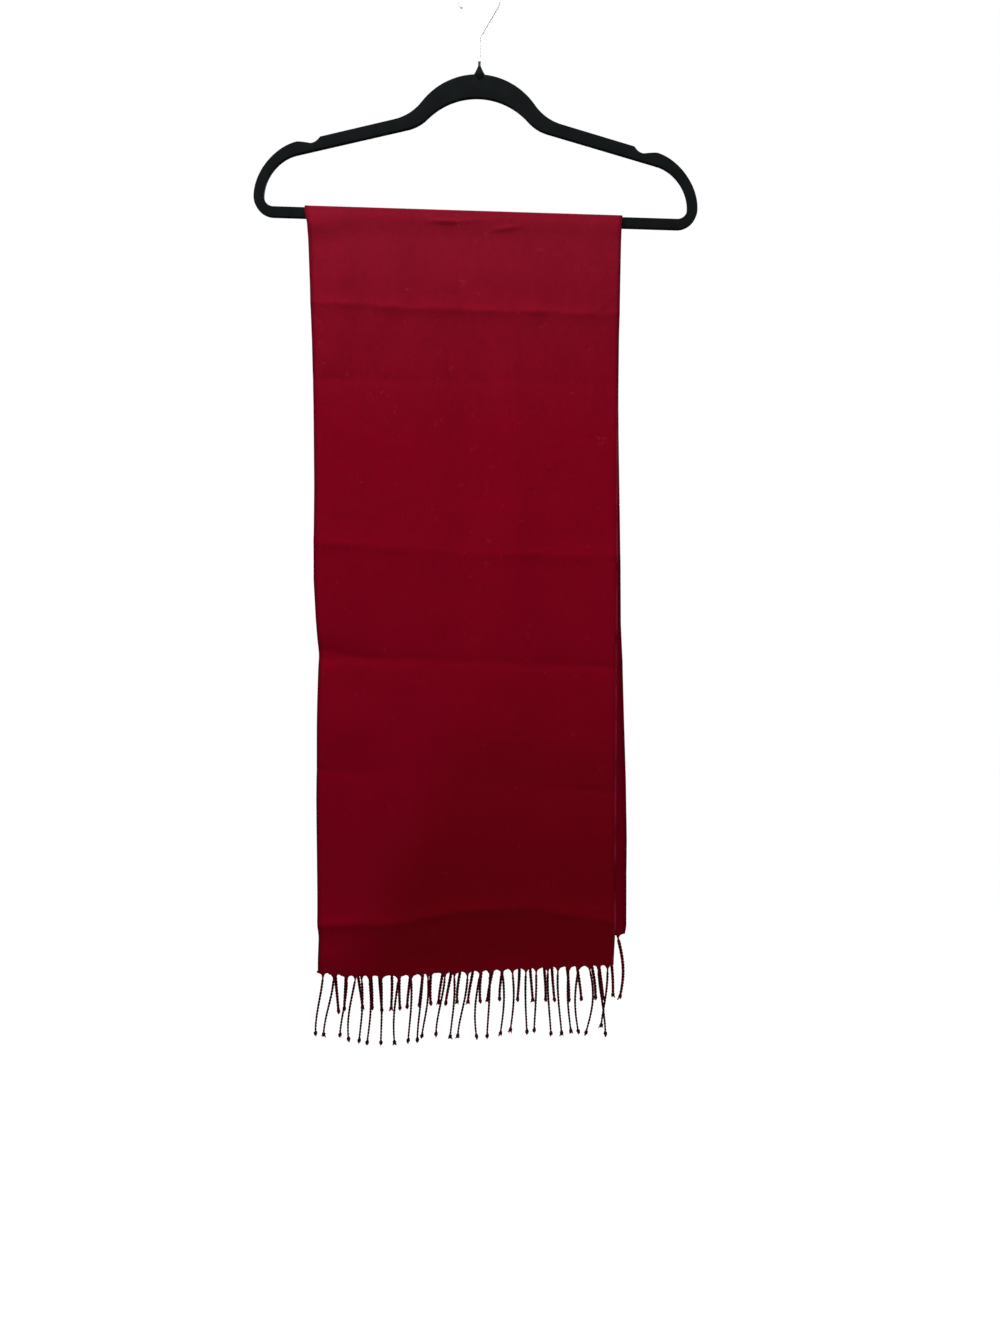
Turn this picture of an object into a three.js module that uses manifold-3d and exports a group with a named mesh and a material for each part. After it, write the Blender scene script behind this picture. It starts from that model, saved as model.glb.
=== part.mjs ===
// A fringed wool scarf folded over the bar of a slim flocked hanger.
// Millimetres, +Z up, -Y is the front, +X is the right side as seen from the front.
// The origin is the underside of the hook's top arc, where a rod carries the hanger.
import * as THREE from "three";
import { mergeVertices } from "three/addons/utils/BufferGeometryUtils.js";
import Module from "manifold-3d";

const wasm = await Module();
wasm.setup();

// Clearances and walls
const FIT_GAP = 0.3;
const CLOTH_WALL = 1.4;

// Hook wire
const WIRE_RADIUS = 1.3;
const WIRE_SIDES = 10;
const WIRE_STEPS = 56;
const HOOK_RADIUS = 20;
const HOOK_LEAN = THREE.MathUtils.degToRad(31);
const HOOK_TIP_ANGLE = THREE.MathUtils.degToRad(208);
const BEND_RADIUS = 9;

// Hanger frame, drawn square round the hub point and then tipped about it
const HUB_Z = -88.2;
const HANGER_TILT = THREE.MathUtils.degToRad(1.75);
const PLATE_THICKNESS = 5;
const PLATE_EDGE = 0.8;
const ARCH_OUTER = { radius: 71, centreZ: -75.2, leaveX: 56.5 };
const ARCH_INNER = { radius: 70, centreZ: -97.5, leaveX: 50 };
const ARM_OUTER = { startX: 84, startZ: -50.4, endX: 157, endZ: -69.5, slope: -0.26 };
const ARM_INNER = { startX: 70, startZ: -60, endX: 180, endZ: -88.1, slope: -0.256 };
const NOTCH = { bottomX: 167, bottomZ: -76.5, lipX: 180, lipZ: -75.4, fall: 5.5, rise: 6 };
const OUTLINE_STEPS = 7;
const HUB_SIDES = 24;
const CORNER = { centreX: 202.4, centreZ: -129.6, outer: 20, inner: 9.7 };
const END_REACH = { outerStart: 21.7, outerEnd: 23.9, innerStart: 17.9, innerEnd: 18.7 };
const BORE_DEPTH = 15.4;
const HUB_TOP = 2.6;

// Hub cone that rises out of the arch and swells from both faces: radius by height
const HUB_PROFILE = [
  { radius: 0, z: -19 },
  { radius: 2.2, z: -17.5 },
  { radius: 3.8, z: -13 },
  { radius: 4.8, z: -7.5 },
  { radius: 4.6, z: -4 },
  { radius: 3.8, z: -2 },
  { radius: 3.1, z: 0 },
  { radius: 2.3, z: HUB_TOP },
  { radius: 0, z: HUB_TOP },
];

// Cloth: how far the piece over the bar comes down, the steps of its grids, how far a fall
// stands out of the bar's face at rest, and over what length it comes out to that
const OVER_BAR_DROP = 13;
const COLUMNS = 16;
const ROWS_PER_PANEL = 5;
const CORNER_STEPS = 3;
const REST_SWELL = 1.5;
const MOST_INWARD = 0.3;
const SWELL_RUN_IN = 60;

// Each fall from its top to its hem: the places of its two edges by height
const FRONT_EDGES = [
  { z: -226, left: -174.8, right: 143.6 },
  { z: -240, left: -171.8, right: 142.2 },
  { z: -295, left: -169.9, right: 140.8 },
  { z: -354, left: -168.5, right: 139.8 },
  { z: -500, left: -167.5, right: 139.7 },
  { z: -594, left: -169.0, right: 140.3 },
  { z: -635, left: -167.4, right: 140.4 },
  { z: -671, left: -165.2, right: 140.5 },
  { z: -717, left: -166.7, right: 140.5 },
  { z: -820, left: -168.8, right: 140.4 },
  { z: -946, left: -168.5, right: 140.4 },
  { z: -963, left: -167.3, right: 139.6 },
  { z: -1005, left: -169.1, right: 138.0 },
];
const BACK_EDGES = [
  { z: -226, left: -174.8, right: 143.6 },
  { z: -240, left: -171.8, right: 142.2 },
  { z: -354, left: -169.2, right: 140.6 },
  { z: -452, left: -168.5, right: 141.5 },
  { z: -574, left: -166.4, right: 143.8 },
  { z: -677, left: -164.2, right: 146.1 },
  { z: -739, left: -162.0, right: 148.1 },
  { z: -802, left: -159.4, right: 150.6 },
  { z: -865, left: -158.6, right: 151.5 },
  { z: -957, left: -158.2, right: 152.0 },
  { z: -985, left: -158.4, right: 147.6 },
];

// Hem lines, level by place across
const FRONT_HEM = [
  { x: -169, z: -1000.4 },
  { x: -141, z: -1004.5 },
  { x: -84, z: -1004.5 },
  { x: 0, z: -999.4 },
  { x: 83, z: -995.1 },
  { x: 138, z: -993.0 },
];
const BACK_HEM = [
  { x: -159, z: -980.5 },
  { x: -60, z: -978 },
  { x: 60, z: -970 },
  { x: 148, z: -964.5 },
];

// Fold lines across each fall: height at the left, middle and right, how far the cloth stands
// out there, or turns in where that is negative, and how far that reaches above and below
const FRONT_CREASES = [
  { left: -316.4, middle: -320, right: -324.3, stand: 3.1, above: 46, below: 54 },
  { left: -556, middle: -564, right: -571.1, stand: 1.9, above: 46, below: 60 },
  { left: -671, middle: -674, right: -678.1, stand: -2.0, above: 42, below: 42 },
  { left: -790, middle: -801, right: -812, stand: -1.4, above: 50, below: 40 },
  { left: -950, middle: -934, right: -941, stand: 2.8, above: 44, below: 40 },
];
const BACK_CREASES = [
  { left: -331, middle: -326, right: -322, stand: 2.9, above: 48, below: 54 },
  { left: -448, middle: -452, right: -455, stand: -1.6, above: 44, below: 48 },
  { left: -575, middle: -569, right: -566, stand: 2.1, above: 46, below: 46 },
  { left: -688, middle: -684, right: -679, stand: -1.9, above: 44, below: 44 },
  { left: -905, middle: -914, right: -900, stand: 2.6, above: 46, below: 40 },
];

// Soft upright flutes in each fall: place across, height of the middle, stand, width and length
const FRONT_FLUTES = [
  { x: -33, z: -520, stand: -1.2, width: 22, length: 130 },
  { x: 8, z: -520, stand: 1.3, width: 22, length: 140 },
  { x: 52, z: -520, stand: -1.1, width: 26, length: 130 },
  { x: -122, z: -800, stand: 1.9, width: 52, length: 150 },
  { x: 96, z: -860, stand: 0.9, width: 34, length: 110 },
];
const BACK_FLUTES = [
  { x: -92, z: -500, stand: 1.3, width: 30, length: 150 },
  { x: -10, z: -620, stand: -1.1, width: 26, length: 140 },
  { x: 70, z: -540, stand: 1.2, width: 26, length: 150 },
  { x: 20, z: -820, stand: 1.5, width: 40, length: 130 },
];

// Fringe: a narrow strip below each hem and the twisted tassels that grow out of it
const STRIP_HEIGHT = 3;
const TASSEL_HALF = 0.8;
const ROOT_HALF = 2.6;
const KNOT_HALF = 1.5;
const ROOT_INSET = 0.05;
const FLARE_DROP = 0.2;

// A tassel's half width by the share of its length, from below its flared root to its tip
const TASSEL_RINGS = [
  { share: 0.05, half: 1.5 },
  { share: 0.13, half: TASSEL_HALF },
  { share: 0.35, half: TASSEL_HALF },
  { share: 0.6, half: TASSEL_HALF },
  { share: 0.86, half: TASSEL_HALF * 0.9 },
  { share: 0.92, half: KNOT_HALF },
  { share: 0.96, half: KNOT_HALF * 0.8 },
  { share: 1, half: 0.7 },
];

// Each tassel: where it leaves the strip, where its tip hangs, the tip's height,
// its sideways bow halfway down, and how far it hangs forward of the hem
const FRONT_TASSELS = [
  { root: -163.4, tip: -171.9, z: -1068.6, bow: -0.7, ahead: 0 },
  { root: -152.4, tip: -163.5, z: -1069.7, bow: 0.2, ahead: 0.6 },
  { root: -138.9, tip: -146.8, z: -1070.7, bow: 0.9, ahead: -0.4 },
  { root: -129.5, tip: -137.2, z: -1075.0, bow: -2.8, ahead: 0.5 },
  { root: -123.8, tip: -127.0, z: -1077.2, bow: 2.2, ahead: -0.9 },
  { root: -116.0, tip: -118.6, z: -1078.8, bow: 3.0, ahead: 0.8 },
  { root: -102.9, tip: -104.0, z: -1079.3, bow: 0.7, ahead: 0 },
  { root: -84.7, tip: -89.3, z: -1078.8, bow: -2.5, ahead: 0.7 },
  { root: -72.2, tip: -75.7, z: -1077.2, bow: 1.6, ahead: -0.5 },
  { root: -60.2, tip: -65.8, z: -1075.7, bow: 0.2, ahead: 1.6 },
  { root: -55.0, tip: -61.6, z: -1072.6, bow: 2.6, ahead: -1.4 },
  { root: -36.8, tip: -46.4, z: -1069.7, bow: 0, ahead: 0.4 },
  { root: -27.4, tip: -31.8, z: -1072.9, bow: 1.8, ahead: -0.3 },
  { root: -13.4, tip: -23.8, z: -1071.4, bow: 1.0, ahead: 0.8 },
  { root: 0.4, tip: -3.6, z: -1072.6, bow: -3.5, ahead: 0 },
  { root: 9.7, tip: 6.9, z: -1071.8, bow: 0.8, ahead: 0.5 },
  { root: 22.6, tip: 20.5, z: -1069.7, bow: 3.0, ahead: -0.6 },
  { root: 33.0, tip: 31.0, z: -1065.4, bow: 2.7, ahead: 0.6 },
  { root: 47.6, tip: 48.7, z: -1067.5, bow: -1.0, ahead: 0 },
  { root: 58.0, tip: 56.0, z: -1065.4, bow: 0.8, ahead: 0.7 },
  { root: 70.5, tip: 73.8, z: -1069.7, bow: -1.0, ahead: -0.4 },
  { root: 80.9, tip: 84.9, z: -1068.6, bow: -1.4, ahead: 0.4 },
  { root: 92.4, tip: 94.7, z: -1066.5, bow: -2.4, ahead: 0 },
  { root: 102.8, tip: 102.6, z: -1066.5, bow: -4.0, ahead: 0.9 },
  { root: 112.8, tip: 109.4, z: -1068.6, bow: 6.0, ahead: -0.5 },
  { root: 122.6, tip: 130.3, z: -1068.6, bow: 0.2, ahead: 1.8 },
  { root: 132.0, tip: 126.0, z: -1061.1, bow: 1.6, ahead: -1.6 },
];
const BACK_TASSELS = [
  { root: -153.0, tip: -149.8, z: -1050.9, bow: -1.0, ahead: 0 },
  { root: -141.6, tip: -144.0, z: -1048.1, bow: 0.8, ahead: 0.6 },
  { root: -129.8, tip: -124.3, z: -1046.4, bow: -1.4, ahead: -0.4 },
  { root: -118.2, tip: -114.7, z: -1047.1, bow: 1.2, ahead: 0.5 },
  { root: -106.8, tip: -104.2, z: -1049.8, bow: -0.8, ahead: 0 },
  { root: -95.2, tip: -94.7, z: -1048.1, bow: 1.6, ahead: 0.7 },
  { root: -83.6, tip: -84.9, z: -1047.1, bow: -1.2, ahead: -0.5 },
  { root: -72.4, tip: -77.7, z: -1046.0, bow: 0.8, ahead: 0.6 },
  { root: -60.8, tip: -64.9, z: -1043.8, bow: 1.8, ahead: 0 },
  { root: -49.2, tip: -52.4, z: -1042.3, bow: -1.6, ahead: 0.4 },
  { root: -37.8, tip: -44.6, z: -1041.7, bow: 0.9, ahead: 1.2 },
  { root: -29.6, tip: -37.0, z: -1041.7, bow: 2.0, ahead: -1.0 },
  { root: -17.0, tip: -24.8, z: -1040.6, bow: -1.0, ahead: 0.5 },
  { root: -6.2, tip: -13.6, z: -1040.6, bow: 1.4, ahead: 0 },
  { root: 5.2, tip: -0.2, z: -1039.5, bow: -1.8, ahead: -0.6 },
  { root: 15.8, tip: 7.2, z: -1038.5, bow: 1.0, ahead: 0.8 },
  { root: 27.6, tip: 20.1, z: -1037.4, bow: -0.9, ahead: 0 },
  { root: 39.8, tip: 38.8, z: -1038.5, bow: 1.7, ahead: 0.5 },
  { root: 52.2, tip: 55.2, z: -1038.5, bow: -1.2, ahead: -0.4 },
  { root: 64.4, tip: 68.6, z: -1038.5, bow: 0.8, ahead: 0.6 },
  { root: 75.8, tip: 78.1, z: -1038.5, bow: -1.6, ahead: 0 },
  { root: 87.4, tip: 93.2, z: -1038.5, bow: 1.1, ahead: 0.4 },
  { root: 99.4, tip: 106.4, z: -1037.4, bow: -0.8, ahead: -0.5 },
  { root: 111.6, tip: 121.2, z: -1036.3, bow: 1.4, ahead: 0.7 },
  { root: 123.2, tip: 129.5, z: -1036.3, bow: -1.2, ahead: 0 },
  { root: 135.0, tip: 139.6, z: -1033.1, bow: 1.0, ahead: 0.6 },
  { root: 143.6, tip: 146.4, z: -1034.9, bow: 5.0, ahead: -0.4 },
];

const FINISHES = {
  wool: { color: 0x7a0a20, roughness: 0.92, metalness: 0 },
  velvet: { color: 0x181c20, roughness: 0.95, metalness: 0 },
  chrome: { color: 0xc9cbce, roughness: 0.2, metalness: 1 },
};

function namedMesh(name, geometry, finish) {
  const mesh = new THREE.Mesh(geometry, new THREE.MeshStandardMaterial(FINISHES[finish]));
  mesh.name = name;
  return mesh;
}

// A closed geometry as a solid, for joining and cutting
function toSolid(geometry) {
  const bare = geometry.index ? geometry.toNonIndexed() : geometry.clone();
  bare.deleteAttribute("normal");
  bare.deleteAttribute("uv");
  const merged = mergeVertices(bare, 1e-4);
  return new wasm.Manifold(
    new wasm.Mesh({
      numProp: 3,
      vertProperties: new Float32Array(merged.attributes.position.array),
      triVerts: new Uint32Array(merged.index.array),
    }),
  );
}

function toGeometry(solid) {
  const mesh = solid.getMesh();
  const geometry = new THREE.BufferGeometry();
  geometry.setAttribute("position", new THREE.BufferAttribute(mesh.vertProperties, 3));
  geometry.setIndex(new THREE.BufferAttribute(mesh.triVerts, 1));
  geometry.computeVertexNormals();
  return geometry;
}

function joined(geometries) {
  return toGeometry(geometries.map(toSolid).reduce((whole, next) => whole.add(next)));
}

// Value of one named column at a place between the rows of a table
function readTable(rows, key, column, at) {
  const ascending = rows[0][key] < rows[rows.length - 1][key];
  const sorted = ascending ? rows : [...rows].reverse();
  const next = sorted.findIndex((row) => row[key] >= at);
  if (next === 0) return sorted[0][column];
  if (next < 0) return sorted[sorted.length - 1][column];
  const low = sorted[next - 1];
  const high = sorted[next];
  const share = (at - low[key]) / (high[key] - low[key]);
  return THREE.MathUtils.lerp(low[column], high[column], share);
}

// A closed sheet between two grids of points: the near grid's rows run down as its
// columns run to +X on the side that faces -Y, and the far grid lies behind it
function sheetBetween(near, far) {
  const rows = near.length;
  const columns = near[0].length;
  const positions = [...near.flat(), ...far.flat()].flatMap((point) => point.toArray());
  const behind = rows * columns;
  const faces = [];
  for (let row = 0; row < rows - 1; row += 1) {
    for (let column = 0; column < columns - 1; column += 1) {
      const here = row * columns + column;
      const below = here + columns;
      faces.push(here, below, here + 1, here + 1, below, below + 1);
      const back = here + behind;
      const backBelow = below + behind;
      faces.push(back, back + 1, backBelow, back + 1, backBelow + 1, backBelow);
    }
  }
  const rim = [];
  for (let column = 0; column < columns - 1; column += 1) rim.push(column);
  for (let row = 0; row < rows - 1; row += 1) rim.push(row * columns + columns - 1);
  for (let column = columns - 1; column > 0; column -= 1) rim.push((rows - 1) * columns + column);
  for (let row = rows - 1; row > 0; row -= 1) rim.push(row * columns);
  rim.forEach((start, index) => {
    const end = rim[(index + 1) % rim.length];
    faces.push(start, end, start + behind, end, end + behind, start + behind);
  });
  const geometry = new THREE.BufferGeometry();
  geometry.setAttribute("position", new THREE.Float32BufferAttribute(positions, 3));
  geometry.setIndex(faces);
  geometry.computeVertexNormals();
  return geometry;
}

// Height of the tipped bar's top edge at a place across
function barTopAt(x) {
  const local = CORNER.centreZ - CORNER.inner;
  const centreX = local * Math.sin(HANGER_TILT);
  const centreZ = HUB_Z + local * Math.cos(HANGER_TILT);
  return centreZ - Math.tan(HANGER_TILT) * (x - centreX);
}

// One fall of the scarf: its shape as functions of the share across and the share down
class Fall {
  constructor(side, edges, hem, creases, flutes) {
    this.side = side;
    this.edges = edges;
    this.hem = hem;
    this.creases = creases;
    this.flutes = flutes;
  }

  acrossAt(share, z) {
    const left = readTable(this.edges, "z", "left", z);
    const right = readTable(this.edges, "z", "right", z);
    return THREE.MathUtils.lerp(left, right, share);
  }

  shareAt(x, z) {
    const left = readTable(this.edges, "z", "left", z);
    const right = readTable(this.edges, "z", "right", z);
    return THREE.MathUtils.clamp((x - left) / (right - left), 0, 1);
  }

  hemAt(x) {
    return readTable(this.hem, "x", "z", x);
  }

  seamAt(x) {
    return barTopAt(x) - OVER_BAR_DROP - FIT_GAP;
  }

  // A crease line's height: a curve through its left, middle and right heights
  creaseAt(crease, share) {
    const leftToRight = THREE.MathUtils.lerp(crease.left, crease.right, share);
    const middleRise = crease.middle - (crease.left + crease.right) / 2;
    return leftToRight + middleRise * 4 * share * (1 - share);
  }

  // How far the inner face of the cloth stands out from the face of the bar
  standAt(x, z) {
    const share = this.shareAt(x, z);
    const below = Math.max(0, this.seamAt(x) - z);
    let stand = REST_SWELL;
    this.creases.forEach((crease) => {
      const distance = z - this.creaseAt(crease, share);
      const reach = distance > 0 ? crease.above : crease.below;
      stand += crease.stand * Math.exp(-Math.abs(distance) / reach);
    });
    this.flutes.forEach((flute) => {
      const across = (x - flute.x) / flute.width;
      const down = (z - flute.z) / flute.length;
      stand += flute.stand * Math.exp(-across * across - down * down);
    });
    return Math.max(stand, -MOST_INWARD) * THREE.MathUtils.smoothstep(below, 0, SWELL_RUN_IN);
  }

  // A point of the cloth, with the depth counted outwards from its inner face
  pointAt(x, z, depth) {
    const inner = PLATE_THICKNESS / 2 + FIT_GAP + this.standAt(x, z);
    return new THREE.Vector3(x, this.side * (inner + depth), z);
  }

  // The lines that the mesh rows follow: the seam, each crease and the hem
  guideHeights(share) {
    const middleX = this.acrossAt(share, this.edges[1].z);
    const hemX = this.acrossAt(share, this.hem[0].z);
    const creases = this.creases.map((crease) => this.creaseAt(crease, share));
    return [this.seamAt(middleX), ...creases, this.hemAt(hemX)];
  }

  grid(depth) {
    const panels = this.creases.length + 1;
    const rows = [];
    for (let row = 0; row <= panels * ROWS_PER_PANEL; row += 1) {
      const panel = Math.min(Math.floor(row / ROWS_PER_PANEL), panels - 1);
      const within = (row - panel * ROWS_PER_PANEL) / ROWS_PER_PANEL;
      const line = [];
      for (let column = 0; column <= COLUMNS; column += 1) {
        const share = column / COLUMNS;
        const guides = this.guideHeights(share);
        const z = THREE.MathUtils.lerp(guides[panel], guides[panel + 1], within);
        line.push(this.pointAt(this.acrossAt(share, z), z, depth));
      }
      rows.push(line);
    }
    return rows;
  }

  sheet() {
    const inner = this.grid(0);
    const outer = this.grid(CLOTH_WALL);
    return this.side < 0 ? sheetBetween(outer, inner) : sheetBetween(inner, outer);
  }

  // The narrow strip just below the hem that carries the tassels
  strip() {
    const rows = [FIT_GAP, FIT_GAP + STRIP_HEIGHT];
    const [inner, outer] = [0, CLOTH_WALL].map((depth) =>
      rows.map((drop) =>
        Array.from({ length: COLUMNS + 1 }, (unused, column) => {
          const x = this.acrossAt(column / COLUMNS, this.hem[0].z);
          return this.pointAt(x, this.hemAt(x) - drop, depth);
        }),
      ),
    );
    return this.side < 0 ? sheetBetween(outer, inner) : sheetBetween(inner, outer);
  }

  // A tassel as four-sided rings: it flares into the strip and swells at its knot
  tassel(row) {
    const top = this.hemAt(row.root) - FIT_GAP - STRIP_HEIGHT / 2;
    const root = this.pointAt(row.root, top, CLOTH_WALL / 2);
    const half = CLOTH_WALL / 2 - ROOT_INSET;
    const rings = [{ centre: root, across: ROOT_HALF, deep: half }];
    const flareZ = top - STRIP_HEIGHT / 2 - FLARE_DROP;
    const flare = this.pointAt(row.root, flareZ, CLOTH_WALL / 2);
    rings.push({ centre: flare, across: ROOT_HALF, deep: half });
    TASSEL_RINGS.forEach(({ share, half: ringHalf }) => {
      const sway = share * share * (3 - 2 * share);
      const x = THREE.MathUtils.lerp(row.root, row.tip, sway) + row.bow * Math.sin(Math.PI * share);
      const y = root.y + this.side * row.ahead * Math.sin((Math.PI / 2) * share);
      const z = THREE.MathUtils.lerp(flareZ, row.z, share);
      rings.push({ centre: new THREE.Vector3(x, y, z), across: ringHalf, deep: ringHalf });
    });
    return loft(rings);
  }
}

// A closed bar of square section through rings that lie level, from the top down
function loft(rings) {
  const corners = [
    [-1, -1],
    [1, -1],
    [1, 1],
    [-1, 1],
  ];
  const points = rings.flatMap(({ centre, across, deep }) =>
    corners.map(([x, y]) => new THREE.Vector3(centre.x + x * across, centre.y + y * deep, centre.z)),
  );
  const faces = [0, 1, 2, 0, 2, 3];
  for (let ring = 0; ring < rings.length - 1; ring += 1) {
    for (let corner = 0; corner < 4; corner += 1) {
      const here = ring * 4 + corner;
      const beside = ring * 4 + ((corner + 1) % 4);
      faces.push(here, here + 4, beside, beside, here + 4, beside + 4);
    }
  }
  const last = (rings.length - 1) * 4;
  faces.push(last, last + 2, last + 1, last, last + 3, last + 2);
  const geometry = new THREE.BufferGeometry();
  geometry.setAttribute(
    "position",
    new THREE.Float32BufferAttribute(points.flatMap((point) => point.toArray()), 3),
  );
  geometry.setIndex(faces);
  return geometry;
}

const frontFall = new Fall(-1, FRONT_EDGES, FRONT_HEM, FRONT_CREASES, FRONT_FLUTES);
const backFall = new Fall(1, BACK_EDGES, BACK_HEM, BACK_CREASES, BACK_FLUTES);

// The cloth where it turns over the bar: a rounded U one gap clear of the bar, from the
// back seam over the top to the front seam, moved out by a depth
function turnProfile(depth) {
  const edge = PLATE_EDGE + FIT_GAP;
  const radius = edge + depth;
  const half = PLATE_THICKNESS / 2 + FIT_GAP - edge;
  const profile = [];
  [1, -1].forEach((side) => {
    const bends = Array.from({ length: CORNER_STEPS + 1 }, (unused, step) => {
      const angle = (Math.PI / 2) * (step / CORNER_STEPS);
      return { y: side * (half + radius * Math.cos(angle)), rise: radius * Math.sin(angle) - PLATE_EDGE };
    });
    const leg = [
      { y: side * (half + radius), rise: -OVER_BAR_DROP },
      { y: side * (half + radius), rise: -OVER_BAR_DROP / 2 },
    ];
    const climb = [...leg, ...bends];
    profile.push(...(side > 0 ? climb : climb.reverse()));
  });
  return profile;
}

function overBarGrid(depth) {
  return turnProfile(depth).map(({ y, rise }) =>
    Array.from({ length: COLUMNS + 1 }, (unused, column) => {
      const share = column / COLUMNS;
      const level = FRONT_EDGES[0].z + Math.min(rise, 0);
      const x = frontFall.acrossAt(share, level);
      return new THREE.Vector3(x, y, barTopAt(x) + rise);
    }),
  );
}

// The right half of the frame's outline: its arch from the middle outwards
function archStart(path, arch) {
  const to = Math.acos(arch.leaveX / arch.radius);
  path.absarc(0, arch.centreZ, arch.radius, Math.PI / 2, to, true);
}

// The hollow curve from an arch into its straight arm, touching both
function archToArm(path, arch, arm) {
  const leaveZ = arch.centreZ + Math.sqrt(arch.radius ** 2 - arch.leaveX ** 2);
  const archSlope = -arch.leaveX / (leaveZ - arch.centreZ);
  const meetX =
    (arm.startZ - leaveZ + archSlope * arch.leaveX - arm.slope * arm.startX) / (archSlope - arm.slope);
  const meetZ = leaveZ + archSlope * (meetX - arch.leaveX);
  path.quadraticCurveTo(meetX, meetZ, arm.startX, arm.startZ);
  path.lineTo(arm.endX, arm.endZ);
}

function outerHalf() {
  const path = new THREE.Path();
  archStart(path, ARCH_OUTER);
  archToArm(path, ARCH_OUTER, ARM_OUTER);
  path.quadraticCurveTo(NOTCH.bottomX - NOTCH.fall, NOTCH.bottomZ, NOTCH.bottomX, NOTCH.bottomZ);
  path.quadraticCurveTo(NOTCH.bottomX + NOTCH.rise, NOTCH.lipZ, NOTCH.lipX, NOTCH.lipZ);
  const endX = CORNER.centreX + CORNER.outer;
  path.bezierCurveTo(
    NOTCH.lipX + END_REACH.outerStart,
    NOTCH.lipZ + END_REACH.outerStart * ARM_OUTER.slope,
    endX,
    CORNER.centreZ + END_REACH.outerEnd,
    endX,
    CORNER.centreZ,
  );
  path.absarc(CORNER.centreX, CORNER.centreZ, CORNER.outer, 0, -Math.PI / 2, true);
  return path;
}

function innerHalf() {
  const path = new THREE.Path();
  archStart(path, ARCH_INNER);
  archToArm(path, ARCH_INNER, ARM_INNER);
  const endX = CORNER.centreX + CORNER.inner;
  path.bezierCurveTo(
    ARM_INNER.endX + END_REACH.innerStart,
    ARM_INNER.endZ + END_REACH.innerStart * ARM_INNER.slope,
    endX,
    CORNER.centreZ + END_REACH.innerEnd,
    endX,
    CORNER.centreZ,
  );
  path.absarc(CORNER.centreX, CORNER.centreZ, CORNER.inner, 0, -Math.PI / 2, true);
  return path;
}

// Both halves of an outline as one ring of points
function closedOutline(half) {
  const right = half.getPoints(OUTLINE_STEPS);
  const left = right
    .slice(1)
    .reverse()
    .map((point) => new THREE.Vector2(-point.x, point.y));
  return [...right, ...left];
}

// The frame plate with rounded edges, flat in X and Z, square round the hub point
function plateGeometry() {
  const shape = new THREE.Shape(closedOutline(outerHalf()));
  shape.holes.push(new THREE.Path(closedOutline(innerHalf()).reverse()));
  const plate = new THREE.ExtrudeGeometry(shape, {
    depth: PLATE_THICKNESS - 2 * PLATE_EDGE,
    bevelThickness: PLATE_EDGE,
    bevelSize: PLATE_EDGE,
    bevelOffset: -PLATE_EDGE,
    bevelSegments: 2,
  });
  plate.translate(0, 0, PLATE_EDGE - PLATE_THICKNESS / 2);
  plate.rotateX(Math.PI / 2);
  return plate;
}

// A round solid about the upright axis from its radius by height
function turned(rows, sides) {
  const lathe = new THREE.LatheGeometry(rows.map(({ radius, z }) => new THREE.Vector2(radius, z)), sides);
  lathe.rotateX(Math.PI / 2);
  return lathe;
}

function hangerFrame() {
  const plate = plateGeometry();
  plate.rotateY(HANGER_TILT);
  const boreRadius = WIRE_RADIUS + FIT_GAP;
  const bore = turned(
    [
      { radius: 0, z: HUB_TOP - BORE_DEPTH },
      { radius: boreRadius, z: HUB_TOP - BORE_DEPTH },
      { radius: boreRadius, z: HUB_TOP + 1 },
      { radius: 0, z: HUB_TOP + 1 },
    ],
    WIRE_SIDES,
  );
  const frame = toSolid(plate).add(toSolid(turned(HUB_PROFILE, HUB_SIDES))).subtract(toSolid(bore));
  const mesh = namedMesh("hanger_frame", toGeometry(frame), "velvet");
  mesh.position.z = HUB_Z;
  return mesh;
}

// An arc in the plane of the hook, by its centre, radius and two angles
class HookArc extends THREE.Curve {
  constructor(centreX, centreZ, radius, from, to) {
    super();
    this.centre = new THREE.Vector3(centreX, 0, centreZ);
    this.radius = radius;
    this.from = from;
    this.to = to;
  }

  getPoint(share) {
    const angle = THREE.MathUtils.lerp(this.from, this.to, share);
    const spoke = new THREE.Vector3(Math.cos(angle), 0, Math.sin(angle));
    return spoke.multiplyScalar(this.radius).add(this.centre);
  }
}

// The wire stands up from the hub, leans over to the right, and turns over the rod to the left
function hookPath() {
  const centreZ = -(HOOK_RADIUS - WIRE_RADIUS);
  const bendZ = centreZ - HOOK_RADIUS / Math.sin(HOOK_LEAN);
  const trim = BEND_RADIUS * Math.tan(HOOK_LEAN / 2);
  const up = (x, z) => new THREE.Vector3(x, 0, z);
  const bottom = up(0, HUB_Z + HUB_TOP - BORE_DEPTH + FIT_GAP);
  const bendStart = up(0, bendZ - trim);
  const bendEnd = up(trim * Math.sin(HOOK_LEAN), bendZ + trim * Math.cos(HOOK_LEAN));
  const arcStart = up(HOOK_RADIUS * Math.cos(HOOK_LEAN), centreZ - HOOK_RADIUS * Math.sin(HOOK_LEAN));
  const path = new THREE.CurvePath();
  path.add(new THREE.LineCurve3(bottom, bendStart));
  path.add(new HookArc(BEND_RADIUS, bendStart.z, BEND_RADIUS, Math.PI, Math.PI - HOOK_LEAN));
  path.add(new THREE.LineCurve3(bendEnd, arcStart));
  path.add(new HookArc(0, centreZ, HOOK_RADIUS, -HOOK_LEAN, HOOK_TIP_ANGLE));
  return path;
}

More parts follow.
